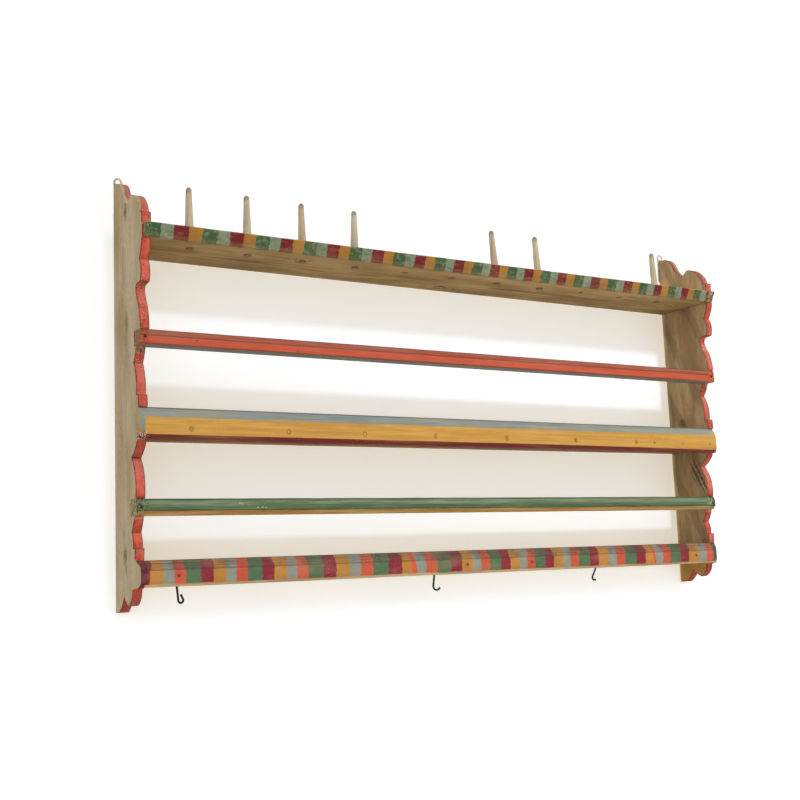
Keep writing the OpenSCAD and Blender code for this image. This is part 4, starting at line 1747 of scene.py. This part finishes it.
@dataclass
class Hook:
    """A bent iron hook driven into the bottom moulding."""

    node: str
    place: float
    lean: float
    bend: float
    sweep: float
    tip: float
    wire: float = 1.7
    swell: float = 1.16
    shank: float = 22.0
    seat: float = 4.0
    deep: float = 111.6
    root: float = 45.0
    taper: float = 0.92
    knob: tuple[Pair, ...] = ((0.5, 1.3), (0.9, 1.06), (0.9, 0.78), (0.6, 0.45))

    def build(self, material: bpy.types.Material) -> None:
        """Builds the hook as one bent wire with a knob at its tip.

        Args:
            material: Its finish.
        """
        piece = Workpiece(f"{self.node}_iron")
        mesh = piece.mesh
        start = bmesh.ops.create_circle(mesh, cap_ends=False, segments=14, radius=self.wire * MM)
        bmesh.ops.translate(mesh, verts=start["verts"], vec=(0, 0, self.seat * MM))
        first = list(mesh.edges)
        ring = first
        drop = (self.shank - 1) / 2
        for fall, scale in ((self.seat, 1.0), (1.0, self.swell), (drop, 1.0), (drop, 1.0)):
            ring = self._push(mesh, ring, Vector((0, 0, -fall)), scale)
        sweep = math.radians(self.sweep)
        bent = bmesh.ops.spin(
            mesh, geom=ring, cent=Vector((self.bend, 0, -self.shank)) * MM, axis=(0, -1, 0), angle=sweep,
            steps=14, use_merge=False, use_duplicate=False,
        )
        ring = picked(bent["geom_last"], bmesh.types.BMEdge)
        way = Matrix.Rotation(-sweep, 3, "Y") @ Vector((0, 0, -1))
        if self.tip:
            ring = self._push(mesh, ring, way * self.tip, self.taper)
        for step, scale in self.knob:
            ring = self._push(mesh, ring, way * step, scale)
        bmesh.ops.contextual_create(mesh, geom=ring)
        bmesh.ops.contextual_create(mesh, geom=first)
        piece.set_at(self.place, self.deep, self.root, self.lean)
        piece.hand_over(material, "hook_iron", self.node, crease=60)

    @staticmethod
    def _push(
        mesh: bmesh.types.BMesh, ring: list[bmesh.types.BMEdge], move: Vector, scale: float
    ) -> list[bmesh.types.BMEdge]:
        """Extrudes a ring of edges, moves it and scales it.

        Args:
            mesh: Mesh of the hook.
            ring: Edges round the wire.
            move: Move of the new ring, in millimetres.
            scale: Size of the new ring by the old one.

        Returns:
            The new ring.
        """
        grown = bmesh.ops.extrude_edge_only(mesh, edges=ring)["geom"]
        verts = picked(grown, bmesh.types.BMVert)
        bmesh.ops.translate(mesh, verts=verts, vec=move * MM)
        middle = sum((vert.co for vert in verts), Vector()) / len(verts)
        bmesh.ops.scale(mesh, verts=verts, vec=(scale,) * 3, space=Matrix.Translation(-middle))
        return picked(grown, bmesh.types.BMEdge)


@dataclass(frozen=True)
class Iron:
    """Forged or rolled metal, dull and a little rusty."""

    name: str
    clean: Colour
    dull: Colour
    rust: Colour
    rusty: float
    metal: float
    rough: float
    seed: float

    def finish(self) -> bpy.types.Material:
        """Builds the metal.

        Returns:
            The finish.
        """
        bench = Bench(self.name)
        cloud = bench.noise((9, 9, 9), 4, self.seed, 0.65)
        pits = bench.noise((1.6, 1.6, 1.6), 3, self.seed + 1, 0.6)
        gate = (cloud * 0.6 + pits * 0.4).rise(0.62 - self.rusty * 0.2, 0.72 - self.rusty * 0.2)
        colour = bench.coats(self.clean, (cloud.rise(0.4, 0.62), self.dull), (gate, self.rust))
        skin = Skin(colour, self.rough + cloud * 0.2 + gate * 0.2, pits * 0.12 + cloud * 0.1)
        return bench.close(skin, self.metal, 0.3)


@dataclass
class Hanger:
    """A flat iron hanging plate with a round eye."""

    node: str

    def build(self, material: bpy.types.Material) -> None:
        """Builds the plate with eased edges.

        Args:
            material: Its finish.
        """
        piece = Workpiece.copy_of(self.node, f"{self.node}_plate")
        piece.ease(0.35, any_edge)
        piece.hand_over(material, "hanger_steel", self.node, crease=40)


@dataclass
class Screws:
    """The four slotted screws of the hanging plates."""

    places: Pair = (-740.5, 736.5)
    heights: Pair = (793.0, 823.0)
    head: float = 3.2
    shank: float = 1.6
    length: float = 17.2
    slot: float = 0.45
    slot_depth: float = 0.7

    def build(self, material: bpy.types.Material) -> None:
        """Builds all four as one piece.

        Args:
            material: Their finish.
        """
        piece = Workpiece("hanger_screws_slotted")
        mesh = piece.mesh
        draw = random.Random(4)
        for place in self.places:
            for height in self.heights:
                old = set(mesh.verts)
                self._screw(mesh)
                fresh = [vert for vert in mesh.verts if vert not in old]
                spin = Matrix.Rotation(draw.uniform(0, math.pi), 4, "Z")
                spot = Matrix.Translation(Vector((place, 0, height - FEET)) * MM)
                turn = spot @ Matrix.Rotation(math.radians(90), 4, "X") @ spin
                bmesh.ops.transform(mesh, matrix=turn, verts=fresh)
        piece.hand_over(material, "screw_steel", "hanger_screws", crease=40)

    def _screw(self, mesh: bmesh.types.BMesh) -> None:
        """Builds one screw that points along Z, its slotted head at 0.

        Args:
            mesh: Mesh that the screw is added to.
        """
        old = set(mesh.faces)
        head, shank = self.head * MM, self.shank * MM
        cone = bmesh.ops.create_cone(
            mesh, cap_ends=True, segments=24, radius1=head, radius2=shank, depth=shank
        )
        bmesh.ops.translate(mesh, verts=cone["verts"], vec=(0, 0, shank / 2))
        top = [face for face in mesh.faces if face not in old and face.normal.z > 0.9]
        self._pull(mesh, top, self.length * MM - shank)
        for side in (-1, 1):
            low = self._low_faces(mesh, old)
            near = [item for face in low for item in (*face.edges, *face.verts)]
            cut_by(mesh, low + list(dict.fromkeys(near)), (0, side * self.slot, 0), (0, 1, 0))
        groove = [face for face in self._low_faces(mesh, old) if abs(face.calc_center_median().y) < 0.1 * MM]
        self._pull(mesh, groove, self.slot_depth * MM)

    @staticmethod
    def _low_faces(mesh: bmesh.types.BMesh, old: set[bmesh.types.BMFace]) -> list[bmesh.types.BMFace]:
        """Finds the faces of the new screw that look down."""
        return [face for face in mesh.faces if face not in old and face.normal.z < -0.9]

    @staticmethod
    def _pull(mesh: bmesh.types.BMesh, faces: list[bmesh.types.BMFace], rise: float) -> None:
        """Extrudes faces upwards.

        Args:
            mesh: Mesh of the screws.
            faces: Faces to extrude.
            rise: Length of the move, in metres.
        """
        grown = bmesh.ops.extrude_face_region(mesh, geom=faces)["geom"]
        bmesh.ops.delete(mesh, geom=faces, context="FACES_ONLY")
        bmesh.ops.translate(mesh, verts=picked(grown, bmesh.types.BMVert), vec=(0, 0, rise))


@dataclass(frozen=True)
class Lamp:
    """A square lamp, with its places in metres."""

    name: str
    place: Size
    power: float
    width: float
    aim: Size = (0, 0, 0.32)

    def hang(self) -> None:
        """Hangs the lamp so that it looks at its aim."""
        data = bpy.data.lights.new(self.name, "AREA")
        data.energy = self.power
        data.size = self.width
        made = bpy.data.objects.new(self.name, data)
        made.location = self.place
        made.rotation_euler = (Vector(self.aim) - Vector(self.place)).to_track_quat("-Z", "Y").to_euler()
        bpy.context.scene.collection.objects.link(made)


@dataclass
class Studio:
    """The white wall, the pale floor, the lamps and the camera, in metres."""

    panel: float = 5.0
    gap: float = 0.0006
    floor: float = -1.05
    lamps: tuple[Lamp, ...] = (
        Lamp("key_lamp", (1.14, -2.42, 2.1), 36.0, 0.22),
        Lamp("back_lamp", (-0.8, 3.0, 1.6), 30.0, 1.5),
    )
    sky: float = 0.88
    # For the camera only, the wall is tinted: inside the rack's outline a warm painted glow stands in for
    # light bounced off the wood into the shaded bays, and the cool tint keeps the lit parts white; outside
    # the outline a plain glow lifts the open wall to white.
    cool: Colour = (0.65, 0.8, 1.0, 1.0)
    warm: Colour = (0.49, 0.398, 0.272, 1.0)
    open_light: Colour = (0.3, 0.3, 0.3, 1.0)
    open_glow: Colour = (0.8, 0.8, 0.8, 1.0)
    upper: float = 722.0
    touch: float = 0.012
    lens: float = 53.8
    film: float = 36.0
    eye: Size = (-1.5081, -2.2406, -0.0033)
    right: Size = (0.8479, -0.5286, -0.0400)
    up: Size = (-0.0402, -0.1394, 0.9894)
    back: Size = (-0.5285, -0.8374, -0.1395)

    def build(self) -> None:
        """Builds the stage."""
        upright = Matrix.Rotation(math.radians(90), 4, "X")
        self._panel("stage_wall", Matrix.Translation((0, self.gap, 0)) @ upright, self._wall_finish())
        self._panel("stage_floor", Matrix.Translation((0, 0, self.floor)), self._floor_finish())
        for lamp in self.lamps:
            lamp.hang()
        self._world()
        self._camera()
        bpy.context.scene.view_settings.view_transform = "Standard"

    def _panel(self, name: str, place: Matrix, material: bpy.types.Material) -> None:
        """Makes a flat panel of the stage.

        Args:
            name: Name of the panel.
            place: Where it stands.
            material: Its finish.
        """
        mesh = bmesh.new()
        bmesh.ops.create_grid(mesh, x_segments=1, y_segments=1, size=self.panel)
        bmesh.ops.transform(mesh, matrix=place, verts=mesh.verts)
        data = bpy.data.meshes.new(name)
        mesh.to_mesh(data)
        mesh.free()
        data.materials.append(material)
        made = bpy.data.objects.new(name, data)
        bpy.context.scene.collection.objects.link(made)

    def _wall_finish(self) -> bpy.types.Material:
        """Builds white plaster that is clear from behind and to what nearly touches it, and that glows for
        the camera, warm over the rack's bays as painted bounce light.

        Returns:
            The finish.
        """
        bench = Bench("white_wall")
        behind = bench.take("ShaderNodeNewGeometry", "Backfacing")
        near = bench.ray("Ray Length").rise(self.touch + MM, self.touch)
        soft = bench.ray("Is Shadow Ray").most(bench.ray("Is Diffuse Ray"))
        cloud = bench.noise((300, 300, 300), 3, 71.0)
        colour = bench.blend(cloud, pot(253, 252, 250), pot(255, 254, 253))
        away = (abs(bench.x) - HALF_LENGTH).most(-bench.high).most(bench.high - self.upper)
        open_wall = away.rise(-2.0, 30.0)
        seen = bench.ray("Is Camera Ray")
        lit_part = bench.blend(open_wall, self.cool, self.open_light)
        colour = bench.blend(seen, colour, bench.blend(1.0, colour, lit_part, "MULTIPLY"))
        plaster = bench.take("ShaderNodeBsdfDiffuse", 0, None, {"Color": colour})
        # painted light: the warm glow over the bays stands in for light bounced off the wood
        glow = bench.blend(open_wall, self.warm, self.open_glow)
        plain = bench.take("ShaderNodeEmission", 0, None, {"Color": glow, "Strength": seen})
        lit = bench.take("ShaderNodeAddShader", 0, None, {0: plaster, 1: plain})
        return bench.end(bench.blend_shaders(behind.most(near * soft), lit, bench.clear()))

    @staticmethod
    def _floor_finish() -> bpy.types.Material:
        """Builds a plain pale floor that is clear from below.

        Returns:
            The finish.
        """
        bench = Bench("pale_floor")
        cloud = bench.noise((200, 200, 200), 3, 72.0)
        colour = bench.blend(cloud, pot(236, 233, 228), pot(240, 238, 234))
        pale = bench.take("ShaderNodeBsdfDiffuse", 0, None, {"Color": colour})
        below = bench.take("ShaderNodeNewGeometry", "Backfacing")
        return bench.end(bench.blend_shaders(below, pale, bench.clear()))

    def _world(self) -> None:
        """Lights the rack evenly from all round, a little more from the left, in front of plain white."""
        world = bpy.data.worlds.new("studio")
        world.use_nodes = True
        tree = Tree(world.node_tree)
        sideways, _, upward = tree.split(tree.take("ShaderNodeTexCoord", "Generated"))
        level = (upward * 0.06 - sideways * 0.12 + 1) * self.sky
        light = tree.take("ShaderNodeBackground", 0, None, {"Color": pot(250, 250, 252), "Strength": level})
        white = tree.take("ShaderNodeBackground", 0, None, {"Color": (1, 1, 1, 1)})
        seen = tree.ray("Is Camera Ray").most(tree.ray("Is Transmission Ray"))
        tree.node("ShaderNodeOutputWorld", None, {"Surface": tree.blend_shaders(seen, light, white)})
        bpy.context.scene.world = world

    def _camera(self) -> None:
        """Sets the camera where the picture was taken."""
        data = bpy.data.cameras.new("camera")
        data.lens = self.lens
        data.sensor_width = self.film
        made = bpy.data.objects.new("camera", data)
        turn = Matrix((self.right, self.up, self.back)).transposed().to_4x4()
        made.matrix_world = Matrix.Translation(self.eye) @ turn
        bpy.context.scene.collection.objects.link(made)
        bpy.context.scene.camera = made


LEFT_KNOTS = (
    Knot(768, 70, 11, 1.8),
    Knot(548, 73, 10, 2.2, 0.7),
    Knot(515, 66, 9, 1.8, 0.45),
    Knot(147, 49, 6, 1.6, 0.6),
    Knot(106, 55, 12, 1.7),
    Knot(82, 60, 7, 1.8, 0.7),
    Knot(330, 44, 7, 2.2, 0.35),
)
RIGHT_KNOTS = (Knot(402, 45, 12, 1.0, 0.6), Knot(262, 84, 9, 1.8, 0.6))
RIGHT_CHIPPED = SideBoard.chipped + ((752, 40, 12),)
PEG_LEANS = {1: 0, 2: 0, 3: 0, 4: 1, 7: -4, 8: -3, 11: -3}
NAIL_RUST = pot(84, 52, 34)
NAILS = (
    ("upper_rail_nails", pot(44, 32, 28), pot(60, 36, 28)),
    ("lower_rail_nails", pot(52, 58, 44), pot(40, 40, 32)),
    ("middle_rail_nails", pot(184, 132, 60), pot(158, 108, 46)),
    ("bottom_rail_nails", pot(128, 66, 40), pot(98, 56, 34)),
)
BLACK_IRON = Iron("black_iron", pot(9, 8, 7), pot(15, 13, 12), pot(34, 24, 18), 0.15, 0.0, 0.6, 91.0)
ZINC = Iron("dull_zinc", pot(206, 196, 168), pot(160, 150, 122), pot(104, 86, 58), 0.3, 0.15, 0.5, 92.0)
STEEL = Iron("screw_steel", pot(130, 126, 116), pot(92, 88, 80), pot(100, 70, 46), 0.3, 0.6, 0.45, 93.0)
HOOKS = (
    Hook("hook_left", -671.25, -6, 4.8, 200, 7, swell=1.25, shank=26),
    Hook("hook_middle", -96.5, 9, 8.2, 138, 2, swell=1.2),
    Hook("hook_right", 351.5, 30, 5.4, 138, 0),
)


def main() -> None:
    """Builds the rack's looks and its stage."""
    logging.basicConfig(level=logging.INFO, format="%(name)s %(message)s")
    Studio().build()
    SideBoard(Side.LEFT, "side_left", LEFT_KNOTS, 1.0).build()
    SideBoard(Side.RIGHT, "side_right", RIGHT_KNOTS, 6.0, rim=2.2, chipped=RIGHT_CHIPPED).build()
    TopShelf().build()
    PlainShelf("middle_shelf", (50, 400), (Knot(-300, 60, 6),), 71.0).build()
    PlainShelf("bottom_shelf", (64, 20), (Knot(220, 40, 7),), 81.0).build()
    for rail in (UpperRail(), LowerRail(), MiddleRail(), BottomRail()):
        rail.build()
    peg_wood = PegWood().finish()
    for number, lean in PEG_LEANS.items():
        Peg(number, lean).build(peg_wood)
    black = BLACK_IRON.finish()
    for hook in HOOKS:
        hook.build(black)
    zinc = ZINC.finish()
    for node in ("hanger_left", "hanger_right"):
        Hanger(node).build(zinc)
    Screws().build(STEEL.finish())
    for seed, (node, clean, dull) in enumerate(NAILS, start=94):
        dress(node, Iron(f"{node}_iron", clean, dull, NAIL_RUST, 0.4, 0.1, 0.6, seed).finish())


if __name__ == "__main__":
    main()
